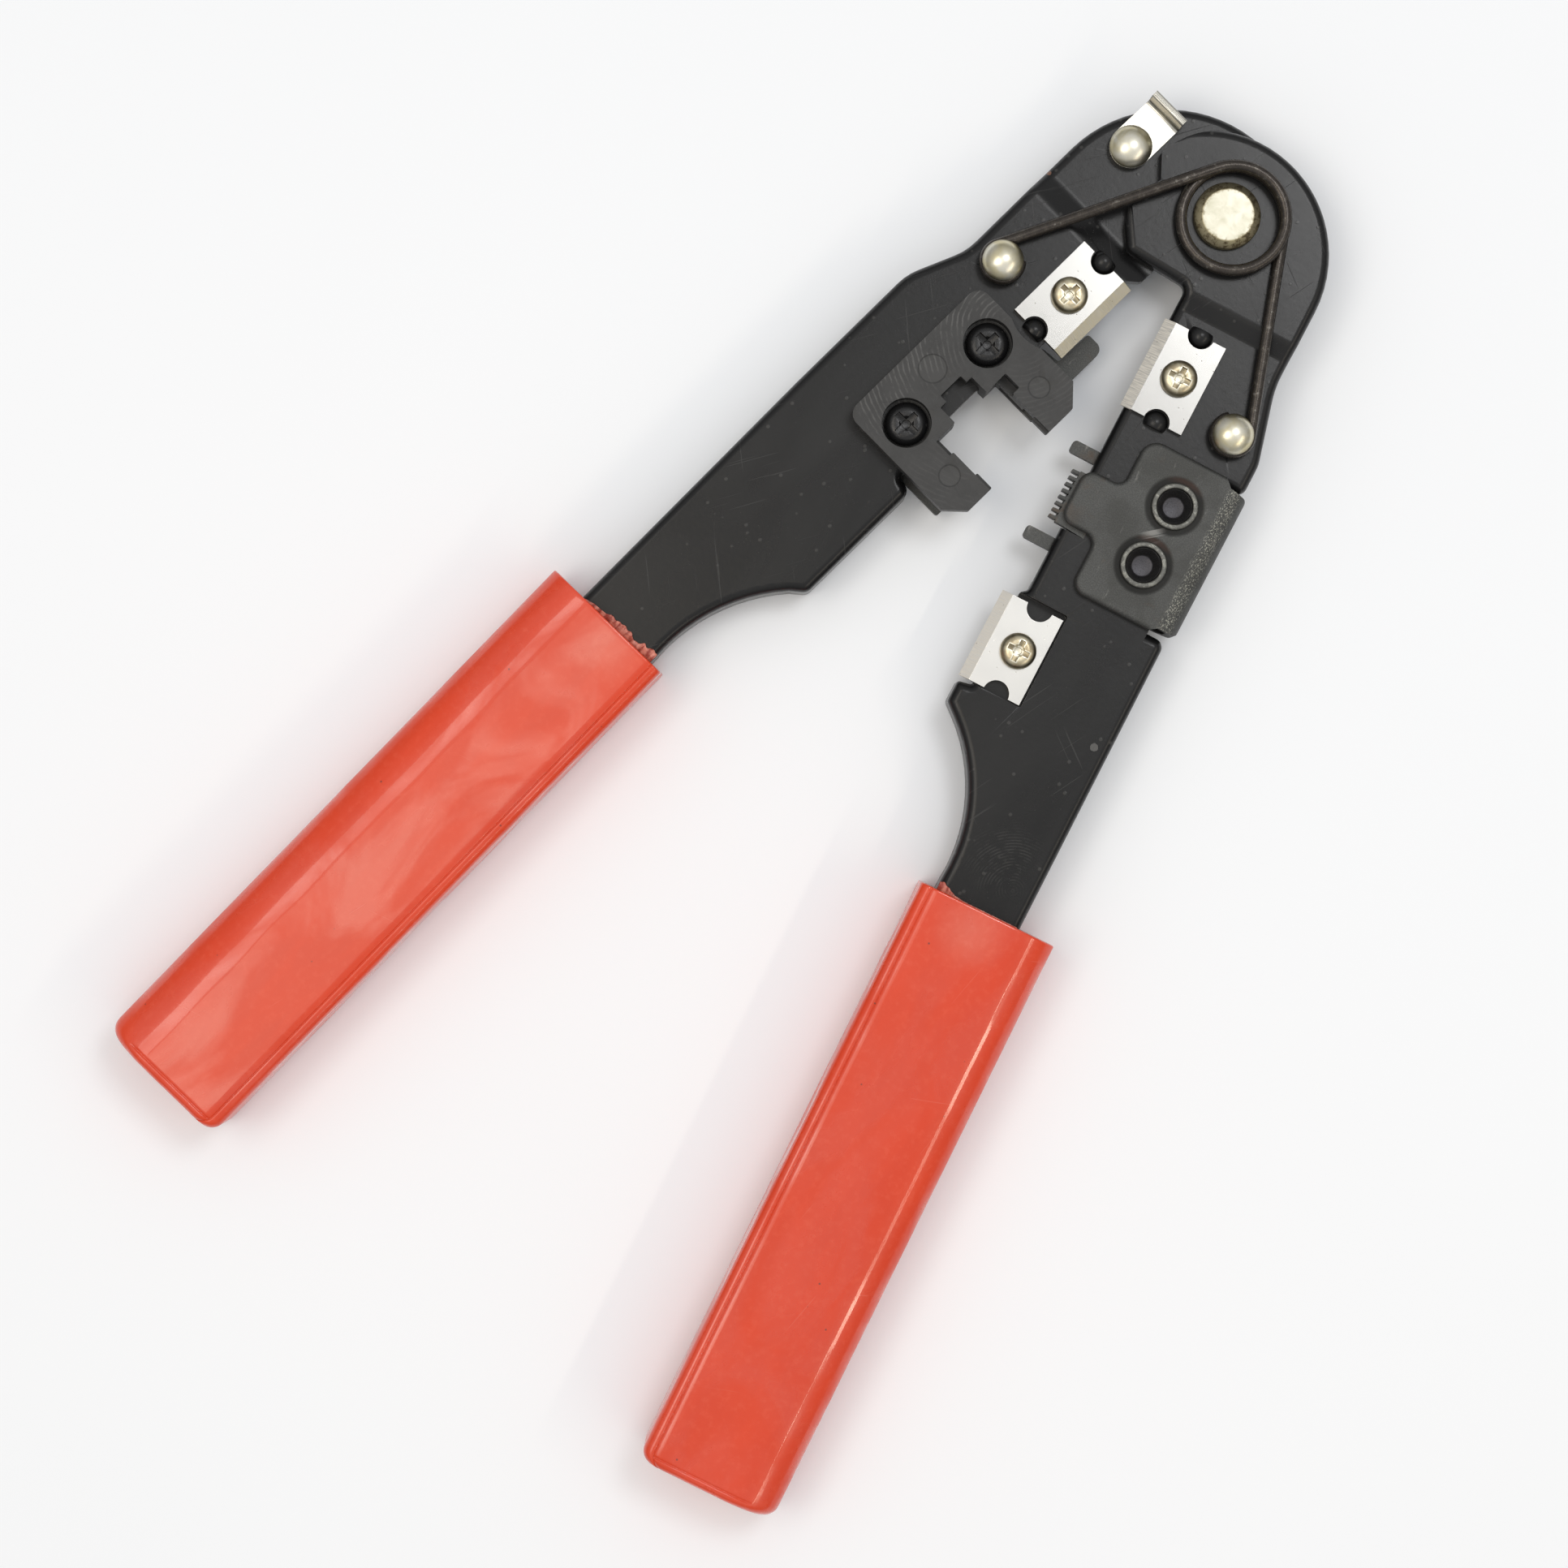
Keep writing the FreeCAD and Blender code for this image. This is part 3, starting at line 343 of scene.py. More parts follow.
def bracket_phosphate(look):
    """The bracket: fold crazed with painted glints, nose browned, dents round the rivets painted dark as
    shade, with rust.
    """
    f, spot, base, rough, height = phosphate("bracket phosphate", OPEN_ANGLE, look)
    px, py, pz = f.split(spot)
    fold = px.over(17.9, 18.9) * px.over(20.8, 19.9) * pz.over(9.0, 10.2)
    crackle = f.node("ShaderNodeTexNoise", {"noise_dimensions": "3D"},
                     {"Vector": f.place(OPEN_ANGLE, (8.0, 3.4, 5.0)), "Scale": 1.0, "Detail": 4.0,
                      "Roughness": 0.6})
    glints = crackle.over(0.53, 0.62) * fold
    nose = px.over(2.5, -0.8) * f.speckle(spot, 0.5).over(0.4, 0.6)
    # the fold's glints are painted highlight: lighter colour in the crazing
    base = f.mix(glints * 0.8, base, (0.44, 0.44, 0.38))
    base = f.mix(nose * 0.3, base, (0.1, 0.065, 0.045))
    handled = f.speckle(spot, 0.16, detail=5.0, warp=0.6).over(0.38, 0.66)
    base = f.mix(handled * 0.32, base, (0.045, 0.045, 0.041))
    rough = rough + handled * 0.08
    for x, y in BRACKET_RIVETS:
        reach = f.reach(spot, x, y)
        dent_shade = reach.over(4.5, 3.9) * pz.over(10.4, 10.9)
        # the dark band round each rivet is painted shade; its upper side is tinged with rust
        base = f.mix(dent_shade * 0.95, base, (0.012, 0.012, 0.011))
        base = f.mix(dent_shade * (py - y).over(2.6, 4.0) * 0.28, base, (0.1, 0.045, 0.03))
        height = height - dent_shade * 2.5
    line = f.near(spot, *BETWEEN_RIVETS, 0.2, 2.2) * scratches(f, spot, 0.9, 2.4, 0.6)
    base = f.mix(line * 0.4, base, (0.4, 0.39, 0.37))
    rough = rough - glints * 0.14
    height = height + crackle * fold * 1.6
    return f.done(base, rough, f.bump(height, 0.035), metallic=0.6)


def rolled_rivet():
    """Rims of the hollow rivets: black steel, the top of the rolled ring painted lighter as highlight, with
    painted glints that are also rubbed wear.
    """
    f = Finish("rolled rivet steel")
    spot = f.place(OPEN_ANGLE)
    _, _, pz = f.split(spot)
    fine = f.speckle(spot, 6.0, detail=4.0)
    top = pz.over(11.45, 11.7)
    worn_and_glints = top * f.speckle(spot, 1.2, detail=4.0).over(0.46, 0.62)
    base = f.mix(fine.over(0.3, 0.7), (0.022, 0.022, 0.02), (0.055, 0.055, 0.05))
    # the top of the ring is painted lighter as highlight; its speckles are painted glints and also rubbed
    # wear
    base = f.mix(top * 0.8, base, (0.13, 0.13, 0.12))
    base = f.mix(worn_and_glints * 0.38, base, (0.32, 0.32, 0.28))
    rough = 0.3 + fine * 0.2 - worn_and_glints * 0.1
    return f.done(base, rough, f.bump(fine, 0.03), metallic=0.7)


def flare_steel():
    """Inside of the hollow rivets: dark drawn walls and a grey floor."""
    f = Finish("rivet flare steel")
    spot = f.place(OPEN_ANGLE)
    _, _, pz = f.split(spot)
    fine = f.speckle(spot, 5.0, detail=4.0)
    floor = pz.over(9.15, 9.0)
    base = f.mix(fine.over(0.3, 0.7), (0.02, 0.02, 0.02), (0.05, 0.049, 0.048))
    base = f.mix(floor, base, (0.062, 0.06, 0.068))
    base = f.mix(floor * fine.over(0.6, 0.7) * 0.6, base, (0.02, 0.02, 0.02))
    return f.done(base, 0.28 + fine * 0.2, f.bump(fine, 0.03), metallic=0.5)


class Blade(NamedTuple):
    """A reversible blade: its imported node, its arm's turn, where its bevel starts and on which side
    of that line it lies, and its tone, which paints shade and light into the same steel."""
    node: str
    turn: float
    bevel_x: float
    side: int
    tone: float


# the tones are painted shade and light: one steel made darker on the strip blades and brighter on the
# cutter
BLADES = (Blade("die_strip_blade", 0.0, -3.65, 1, 0.68),
          Blade("punch_strip_blade", OPEN_ANGLE, 0.6, -1, 0.56),
          Blade("cutter_blade", OPEN_ANGLE, -1.95, -1, 1.15))


def blade_steel(blade, look):
    """Ground blade: faint lengthways polish, a cross-ground cutting bevel, pits and stains, with painted
    shade and light in its tone and its bevel's colour.
    """
    f = Finish(plain_name(blade.node, "steel"))
    turn, side = blade.turn, blade.side
    steel = tuple(c * blade.tone for c in look.blade)
    spot = f.place(turn)
    px, _, _ = f.split(spot)
    polish = f.speckle(f.place(turn, (9.0, 0.25, 3.0)), 1.0, detail=4.0)
    cross = f.speckle(f.place(turn, (0.4, 5.5, 0.4)), 1.0, detail=4.0).over(0.36, 0.62)
    bevel = (px - blade.bevel_x).over(-0.02 * side, 0.05 * side)
    pits = f.cells(spot, 0.85).over(0.09, 0.035)
    stain = f.speckle(spot, 0.32, detail=5.0, warp=0.7)
    base = f.mix(stain.over(0.45, 0.8) * 0.2, steel, tuple(c * 0.86 for c in steel))
    # the bevel's colour is painted shade and light: darker on the die blade's bevel, lighter on the punch
    # side's bevels, which face the other way
    ground = (0.47, 0.44, 0.34) if side > 0 else (0.8, 0.76, 0.68)
    base = f.mix(bevel * (0.45 + cross * 0.5), base, ground)
    base = f.mix(pits * 0.7, base, (0.2, 0.18, 0.15))
    rough = 0.19 + stain * 0.08 + bevel * 0.14 + pits * 0.2
    height = polish * 0.16 * (1 - bevel) + cross * bevel * 1.1 - pits * 0.8
    metal = 1.0 if side > 0 else 1 - bevel * 0.4
    return f.done(base, rough, f.bump(height, 0.011), metallic=metal)


RECESS_WIDTH = 0.39                   # half the width of a driver recess's wings
RECESS_REACH = 1.62                   # and how far they reach from the middle


# each domed rivet head, its arm's turn and the height of its rim
DOMES = (("die_spring_post", 0.0, 12.5), ("punch_spring_post", OPEN_ANGLE, 12.2),
         ("latch_rivet", 0.0, 9.65))


def zinc_dome(name, turn, look, rim_z):
    """Round heads in pale yellow zinc: soft gloss, olive bloom, dirt specks and a lower rim painted dark as
    shade.
    """
    f = Finish(name)
    spot = f.place(turn)
    cloud = f.speckle(spot, 0.3, detail=3.0, warp=0.5)
    fine = f.speckle(spot, 5.0, detail=3.0)
    dirt = f.speckle(spot, 1.6, detail=5.0, rough=0.7)
    _, _, pz = f.split(spot)
    base = f.mix(cloud.over(0.35, 0.65), look.zinc_warm, look.zinc)
    # dirt specks, and the lower rim painted dark as shade
    dirt_and_rim_shade = dirt.over(0.64, 0.76) * 0.3 + pz.over(rim_z + 0.75, rim_z) * (0.4 + dirt * 0.6)
    base = f.mix(dirt_and_rim_shade, base, (0.12, 0.1, 0.05))
    rough = 0.24 + cloud * 0.12 + dirt_and_rim_shade * 0.2
    return f.done(base, rough, f.bump(fine * 0.4 + dirt * 0.3, 0.008), metallic=1.0)


def zinc_pivot():
    """The pivot: a bright worn top with an olive-brown, stained chamfer round it, painted darker as shade,
    and a dark ring at the chamfer's edge painted as shade and blotched with stain.
    """
    f = Finish("pivot zinc")
    spot = f.place()
    _, _, pz = f.split(spot)
    cloud = f.speckle(spot, 0.5, detail=4.0, warp=0.5)
    dirt = f.speckle(spot, 1.1, detail=5.0, rough=0.7)
    reach = f.reach(spot, 0.0, 0.0)
    # the chamfer is painted darker as shade, olive-brown, and stained in blotches
    edge = reach.over(3.45, 3.75) * pz.over(10.4, 10.7)
    base = f.mix(cloud.over(0.3, 0.75), (0.54, 0.52, 0.44), (0.44, 0.425, 0.33))
    base = f.mix(dirt.over(0.55, 0.7) * 0.35, base, (0.33, 0.33, 0.24))
    base = f.mix(edge * 0.7, base, (0.4, 0.34, 0.19))
    base = f.mix(edge * dirt.over(0.45, 0.62) * 0.8, base, (0.09, 0.065, 0.035))
    # a dark ring where the chamfer starts: painted shade blotched with stain
    ring = reach.over(3.1, 3.5) * reach.over(3.9, 3.6)
    base = f.mix(ring * dirt.over(0.5, 0.6) * 0.6, base, (0.2, 0.17, 0.1))
    rough = 0.36 + cloud * 0.1 + edge * dirt * 0.2
    return f.done(base, rough, f.bump(dirt * 0.4 + cloud * 0.4, 0.01), metallic=1.0)


class PanHead(NamedTuple):
    """A pan head: its middle, and the heights of its seat and crown."""
    x: float
    y: float
    seat: float
    crown: float


DIE_BLADE_HEADS = (PanHead(-7.65, -23.8, 10.6, 12.35),)
PUNCH_BLADE_HEADS = (PanHead(4.65, -23.6, 10.6, 12.35), PanHead(2.4, -68.3, 8.2, 9.95))


def zinc_screw(name, turn, look, heads):
    """Pan-head screws gone bronze: rims painted dark as shade and grime, recesses painted dark as shade and
    dirt, and bright edges round the driver recess that are burrs and painted highlight.
    """
    f = Finish(name)
    spot = f.place(turn)
    px, py, pz = f.split(spot)
    cloud = f.speckle(spot, 0.55, detail=3.0, warp=0.5)
    fine = f.speckle(spot, 5.0, detail=3.0)
    dirt = f.speckle(spot, 1.6, detail=5.0, rough=0.7)
    base = f.mix(cloud.over(0.35, 0.65), (0.42, 0.35, 0.23), (0.66, 0.6, 0.44))
    rough = 0.24 + cloud * 0.12 + dirt * 0.1
    for x, y, seat, crown in heads:
        reach = f.reach(spot, x, y)
        here = reach.over(3.2, 3.0)
        # the rim of each head is painted dark as shade, mixed with grime
        rim = here * (reach.over(1.9, 2.5) * 0.7 + pz.over(seat + 0.6, seat + 0.1) * 0.3)
        base = f.mix(rim * (0.5 + dirt * 0.7), base, (0.1, 0.085, 0.045))
        dx, dy = (px - x).maths("ABSOLUTE"), (py - y).maths("ABSOLUTE")
        wing = dx.maths("MINIMUM", dy) - RECESS_WIDTH
        cross = wing.maths("MAXIMUM", dx.maths("MAXIMUM", dy) - RECESS_REACH)
        # the recess's edges are painted bright: burrs, and painted highlight
        burr_and_highlight = cross.over(0.2, 0.1) * cross.over(-0.06, 0.0) * pz.over(crown - 0.5, crown - 0.3)
        base = f.mix(burr_and_highlight * 0.85, base, look.zinc)
        # the recess is painted dark as shade, mixed with dirt
        recess_dirt_and_shade = cross.over(0.0, -0.04) * here
        base = f.mix(recess_dirt_and_shade * (0.35 + dirt * 0.5), base, (0.16, 0.13, 0.08))
        # the middle of the recess is painted bright zinc
        base = f.mix(reach.over(0.95, 0.6) * 0.8, base, look.zinc)
    return f.done(base, rough, f.bump(fine * 0.4 + dirt * 0.4, 0.01), metallic=1.0)


LATCH_PIT = (-18.8, -1.9)


def latch_nickel():
    """Brushed nickel with yellowed stains and one pit."""
    f = Finish("latch nickel")
    spot = f.place()
    brush = f.speckle(f.place(0.0, (0.3, 7.0, 0.3)), 1.0, detail=4.0)
    stain = f.speckle(spot, 0.6, detail=4.0)
    pit = f.near(spot, *LATCH_PIT, 0.1, 0.35)
    base = f.mix(stain.over(0.45, 0.75) * 0.6, (0.47, 0.455, 0.405), (0.35, 0.33, 0.27))
    base = f.mix(pit, base, (0.08, 0.06, 0.045))
    return f.done(base, 0.18 + brush * 0.16, f.bump(brush, 0.01), metallic=1.0)


def spring_wire(look):
    """Oil-tempered wire: brown-black scale with drawn streaks and lighter patches, painted glints that also
    stand for rubbed wear.
    """
    f = Finish("spring wire")
    spot = f.place()
    streak = f.speckle(spot, 1.1, detail=5.0, rough=0.7)
    fine = f.speckle(spot, 7.0, detail=3.0)
    base = f.mix(streak.over(0.35, 0.7), look.wire, (0.068, 0.059, 0.05))
    # lighter patches: painted glints, also standing for rubbed wear
    rub = streak.over(0.58, 0.7)
    base = f.mix(rub * 0.5, base, (0.25, 0.24, 0.22))
    rough = 0.2 + fine * 0.16
    return f.done(base, rough, f.bump(fine * 0.6 + streak * 0.3, 0.02), metallic=0.7)


def plain_steel(name, turn):
    """Bare turned steel of the hidden hardware, lightly stained."""
    f = Finish(name)
    spot = f.place(turn)
    fine = f.speckle(spot, 4.0, detail=4.0)
    stain = f.speckle(spot, 0.8, detail=4.0)
    base = f.mix(stain.over(0.4, 0.7), (0.42, 0.41, 0.39), (0.25, 0.22, 0.18))
    return f.done(base, 0.3 + fine * 0.25, f.bump(fine, 0.02), metallic=1.0)


def black_screw():
    """Blackened screws, rubbed on their high spots."""
    f = Finish("black oxide screw")
    spot = f.place()
    fine = f.speckle(spot, 5.0, detail=3.0)
    rub = f.speckle(spot, 1.2, detail=5.0).over(0.6, 0.75)
    base = f.mix(rub * 0.6, (0.014, 0.014, 0.015), (0.13, 0.12, 0.11))
    return f.done(base, 0.2 + fine * 0.2, f.bump(fine, 0.015), metallic=0.35)


# ---- mesh helpers -------------------------------------------------------------------------------
EDGE_LIMIT = math.radians(40)         # edges sharper than this are broken
GROUND_LIMIT = math.radians(20)       # and on a blade, whose bevel meets its face at a shallow angle


def plain_name(node, metal):
    """A finish's name, from the node that wears it."""
    return node.replace("_", " ") + " " + metal


def finish_node(name, material, bevel=0.0, ground=False):
    """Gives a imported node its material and, where asked, edges broken by bevel metres. A ground
    piece keeps its faces dead flat up to the broken edge."""
    node = NODES[name]
    node.data.materials.clear()
    node.data.materials.append(material)
    if bevel:
        weld = node.modifiers.new("Join facets", "WELD")
        weld.merge_threshold = 0.001 * MM
        edge = node.modifiers.new("Broken edges", "BEVEL")
        edge.width = bevel
        edge.segments = 2
        edge.limit_method = "ANGLE"
        edge.angle_limit = GROUND_LIMIT if ground else EDGE_LIMIT
        if ground:
            edge.harden_normals = True
        else:
            node.modifiers.new("Even shading", "WEIGHTED_NORMAL").keep_sharp = False


def new_piece(name, mesh, material, body=None):
    """Adds an object for a mesh; with a body named, it rides on that body."""
    piece = bpy.data.objects.new(name, mesh)
    bpy.context.scene.collection.objects.link(piece)
    mesh.materials.append(material)
    if body:
        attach(piece, body)
    return piece


def mesh_from(name, points, faces, move=Matrix.Identity(4)):
    """Smooth-shaded mesh from points in millimetres, with its normals outward."""
    mesh = bpy.data.meshes.new(name)
    mesh.from_pydata([move @ (Vector(p) * MM) for p in points], [], faces)
    book = bmesh.new()
    book.from_mesh(mesh)
    bmesh.ops.remove_doubles(book, verts=book.verts, dist=0.002 * MM)
    bmesh.ops.recalc_face_normals(book, faces=book.faces)
    book.to_mesh(mesh)
    book.free()
    mesh.shade_smooth()
    return mesh


def ring_faces(rows, count, closed=True):
    """Quads between rows of count points each."""
    faces = []
    for r in range(rows - 1):
        for i in range(count if closed else count - 1):
            j = (i + 1) % count
            faces.append((r * count + i, r * count + j, (r + 1) * count + j, (r + 1) * count + i))
    return faces


def arc(cx, cz, r, start, end, steps):
    """Points on a circle from one angle to another, in degrees."""
    turns = [math.radians(start + (end - start) * i / steps) for i in range(steps + 1)]
    return [(cx + r * math.cos(a), cz + r * math.sin(a)) for a in turns]


# ---- grips --------------------------------------------------------------------------------------
# millimetres; a sleeve is drawn across from its outer side, along its arm, and up
GRIP_WIDTH = 21.15
GRIP_Z = 13.4                         # height of the face
GRIP_TILT = math.radians(1.4)         # between the sleeve and its arm
MOUTH_Y = -103.3                      # both sleeves start here
OUTER_R = 4.6
OUTER_RUN = 7.2                       # the face starts to fall this far from the outer side
FLAT_TURNS = (125, 118.5)             # a narrow flat left along that round, degrees
INNER_R = 1.55
SEAM = 1.7                            # from the inner side to the seam line
EDGE_R = 1.9                          # round of the face's edge before the seam
EDGE_TURN = 31.0                      # degrees
EDGE_RUN = EDGE_R * math.sin(math.radians(EDGE_TURN))
END_SIDE_R = 2.3                      # rounds of the closed end, seen from above and from the side
END_TOP_R = 1.25
END_CLEAR = 2.4                       # beyond this the end's rounds and seam are over
LIP_R = 0.22                          # round of the mouth
LIP_CLEAR = 1.2
STATION_GAP = 1.6                     # between the rings of the plain stretch
CROWN = 0.1                           # how far the face falls towards its sides
WEB_Z = 9.5                           # top of the arm's tang, and its underside
TANG_Z = 2.2
MOUTH_DEPTH = 7.0


class Grip(NamedTuple):
    """A sleeve: its arm, the x of its outer side, the y of its closed end, which way it faces, its
    arm's turn, where the tang's edges are across it, its painted highlight patch and the seed of its
    waviness."""
    arm: str
    outer_x: float
    end_y: float
    side: int
    turn: float
    tang: tuple
    sheen_patch: tuple
    seed: float

    def frame(self):
        """From the sleeve's own (across, along, up) to the row frame."""
        across = Matrix(((-self.side, 0, 0, self.outer_x * MM), (0, 1, 0, 0), (0, 0, 1, 0), (0, 0, 0, 1)))
        pin = Matrix.Translation((self.outer_x * MM, MOUTH_Y * MM, 0))
        tilt = pin @ Matrix.Rotation(GRIP_TILT, 4, "Z") @ pin.inverted()
        return Matrix.Rotation(self.turn, 4, "Z") @ tilt @ across


GRIPS = (Grip("die", -31.1, -194.6, -1, 0.0, (5.45, 19.05), (-18.0, -106.0), 8.0),
         Grip("punch", 26.4, -194.4, 1, OPEN_ANGLE, (5.35, 18.75), (14.8, -107.2), 3.0))


def grip_section():
    """The sleeve's outline as (across, up), from the outer side's foot round over the face."""
    seam = GRIP_WIDTH - SEAM
    points = arc(OUTER_R, OUTER_R, OUTER_R, 270, 180, 9)
    lower, upper = arc(0, 0, 1, 180, FLAT_TURNS[0], 11), arc(0, 0, 1, FLAT_TURNS[1], 90, 6)
    flat = [tuple(a + (b - a) * t for a, b in zip(lower[-1], upper[0])) for t in (0.2, 0.5, 0.8)]
    points += [(OUTER_RUN * (1 + across), GRIP_Z - OUTER_R + OUTER_R * up)
               for across, up in lower + flat + upper]
    run = seam - EDGE_RUN - OUTER_RUN
    points += [(OUTER_RUN + run * i / 12, GRIP_Z) for i in range(1, 13)]
    points += [(seam - EDGE_RUN + across, GRIP_Z - EDGE_R + up)
               for across, up in arc(0, 0, EDGE_R, 90, 90 - EDGE_TURN, 8)[1:]]
    points += [(seam + 0.02, GRIP_Z - 0.36), (seam + 0.1, GRIP_Z - 0.22)]
    points += arc(GRIP_WIDTH - INNER_R, GRIP_Z - 0.12 - INNER_R, INNER_R, 84, 0, 8)
    points += arc(GRIP_WIDTH - INNER_R, INNER_R, INNER_R, 0, -90, 6)
    return points


def grip_stations(length):
    """Distances from the closed end at which the sleeve is drawn, and how deep the end seam is."""
    near = [(0.0, 0), (0.05, 0), (0.15, 0), (0.32, 0), (0.55, 0), (0.8, 0), (1.05, 0), (1.2, 0.02),
            (1.3, 0.16), (1.38, 0.22), (1.5, 0.1), (1.64, 0.02), (1.85, 0), (END_CLEAR, 0)]
    plain = length - END_CLEAR - LIP_CLEAR
    count = int(plain / STATION_GAP)
    steps = [(END_CLEAR + plain * i / count, 0) for i in range(1, count + 1)]
    mouth = [(length - inside, 0) for inside in (0.7, 0.35, 0.15, 0.04, 0)]
    return near + steps + mouth


def rounding(r, distance):
    """How far a round of radius r falls back at a distance from the end that it closes."""
    return r - math.sqrt(max(0, r ** 2 - max(0, r - distance) ** 2))


def grip_rings(grip):
    """Rings from the closed end to the mouth, then in over its lip and down the opening."""
    length = MOUTH_Y - grip.end_y
    section = grip_section()
    mid_u, mid_z = GRIP_WIDTH / 2, GRIP_Z / 2
    rings = []
    for from_end, seam in grip_stations(length):
        lift = rounding(LIP_R, length - from_end)
        narrow = 1 - (rounding(END_SIDE_R, from_end) + lift) / mid_u
        low = 1 - (rounding(END_TOP_R, from_end) + lift) / mid_z
        y = grip.end_y + from_end
        ring = []
        for u, z in section:
            up = mid_z + (z - mid_z) * low
            if z > mid_z + 3:
                up -= CROWN * min(1.0, abs(u - mid_u) / (mid_u - 1.0))
            if z > GRIP_Z - 0.5 and u < GRIP_WIDTH - SEAM:
                up -= seam
            if z > mid_z:
                wave = noise.noise(Vector((u * 0.11, y * 0.045, grip.seed))) * 0.09
                wave += noise.noise(Vector((u * 0.35, y * 0.14, grip.seed + 5))) * 0.025
                up -= max(0.0, 0.06 + wave) * min(1.0, from_end / 3)
            ring.append((mid_u + (u - mid_u) * narrow, y, up))
        rings.append(ring)
    # the opening: every outline point is carried to the tang's edge, then straight in
    low_u, high_u = grip.tang
    for depth in (0.0, 0.05, MOUTH_DEPTH):
        rings.append([(min(max(u, low_u), high_u), MOUTH_Y - depth, min(max(z, TANG_Z), WEB_Z + 0.02))
                      for u, z in section])
    return rings


def make_grip(grip, material, flash):
    """The sleeve, closed at both ends of its rings, and the flash at its mouth."""
    name = grip.arm + "_grip_sleeve"
    rings = grip_rings(grip)
    count = len(rings[0])
    points = [p for ring in rings for p in ring]
    faces = ring_faces(len(rings), count)
    faces.append(tuple(reversed(range(count))))
    last = (len(rings) - 1) * count
    faces.append(tuple(last + i for i in range(count)))
    sleeve = new_piece(name, mesh_from(name, points, faces, grip.frame()), material, grip.arm + "_arm")
    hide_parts(grip.arm + "_arm_grip")
    make_flash(grip, name + "_flash", flash)


FLASH_COLUMNS, FLASH_ROWS = 91, 6
FLASH_REACH = (0.1, 2.2)              # shortest and longest


def flash_layer(grip, side):
    """The flash's underside, side 0, or its top, side 1."""
    low, high = grip.tang[0] + 0.6, grip.tang[1] - 0.1
    points = []
    for row in range(FLASH_ROWS):
        out = row / (FLASH_ROWS - 1)
        for column in range(FLASH_COLUMNS):
            t = column / (FLASH_COLUMNS - 1)
            u = low + (high - low) * t
            gate = min(1.0, t * 2.2) if grip.side < 0 else max(0.0, t * 3 - 2)
            reach = 0.2 + gate * (1.05 + 1.1 * noise.noise(Vector((u * 0.36, 2.0 * grip.side, 1.0))))
            reach += 0.5 * gate * noise.noise(Vector((u * 1.3, 5.0, grip.side)))
            along = max(FLASH_REACH[0], min(reach, FLASH_REACH[1])) * out
            curl = 0.14 + 0.4 * gate * (0.6 + noise.noise(Vector((u * 0.8, along * 0.8, 3.0))))
            thick = 0.16 * (1 - out) + 0.04
            points.append((u, MOUTH_Y - 0.1 + along, WEB_Z + 0.02 + (curl * out ** 0.5 + thick) * side))
    return points


def make_flash(grip, name, material):
    """Thin ragged skin lying on the arm along the grip's mouth, thicker where it left the mould."""
    points = flash_layer(grip, 0) + flash_layer(grip, 1)
    rows, width = FLASH_ROWS, FLASH_COLUMNS
    top = rows * width
    layer = ring_faces(rows, width, closed=False)
    faces = layer + [tuple(top + i for i in face) for face in layer]
    rim = [r * width for r in range(rows)] + [(rows - 1) * width + i for i in range(1, width)]
    rim += [r * width + width - 1 for r in range(rows - 2, -1, -1)] + list(range(width - 2, 0, -1))
    faces += [(a, b, b + top, a + top) for a, b in zip(rim, rim[1:] + rim[:1])]
    flash = new_piece(name, mesh_from(name, points, faces, grip.frame()), material, grip.arm + "_arm")


# ---- hollow rivets ------------------------------------------------------------------------------
FLARE_R, FLARE_Z = 2.44, 11.35        # mouth of the flare inside each hollow rivet
FLARE_FLOOR_R, FLARE_FLOOR_Z = 1.5, 8.95
FLARE_BACK_Z = 8.7
FLARE_EYE = 0.02                      # each end of the cup closes round this radius
FLARE_LOBE = 0.12                     # how far its six sides stand in
FLARE_STEPS, FLARE_AROUND = 10, 48


def make_flares(material):
    """Cups inside the hollow rivets, their walls left slightly six-sided by the riveting punch."""
    profile = [(FLARE_EYE, FLARE_BACK_Z, 0), (FLARE_R, FLARE_BACK_Z, 0)]
    for i in range(FLARE_STEPS + 1):
        t = i / FLARE_STEPS
        profile.append((FLARE_R - (FLARE_R - FLARE_FLOOR_R) * t ** 1.4,
                        FLARE_Z - (FLARE_Z - FLARE_FLOOR_Z) * t ** 0.8, FLARE_LOBE * math.sin(math.pi * t)))
    floor_z = FLARE_FLOOR_Z - 0.04
    profile += [(FLARE_FLOOR_R - FLARE_LOBE, floor_z, 0), (FLARE_EYE, floor_z, 0)]
    around = FLARE_AROUND
    points, faces = [], []
    for x, y in BRACKET_RIVETS:
        first = len(points)
        for r, z, lobe in profile:
            for k in range(around):
                a = 2 * math.pi * k / around
                out = r - lobe * (0.5 + 0.5 * math.cos(6 * a))
                points.append((x + out * math.cos(a), y + out * math.sin(a), z))
        last = first + (len(profile) - 1) * around
        faces += [tuple(first + i for i in face) for face in ring_faces(len(profile), around)]
        faces += [tuple(range(first, first + around)), tuple(range(last, last + around))]
    mesh = mesh_from("rivet_flares", points, faces, Matrix.Rotation(OPEN_ANGLE, 4, "Z"))
    flares = new_piece("rivet_flares", mesh, material, "punch_arm")


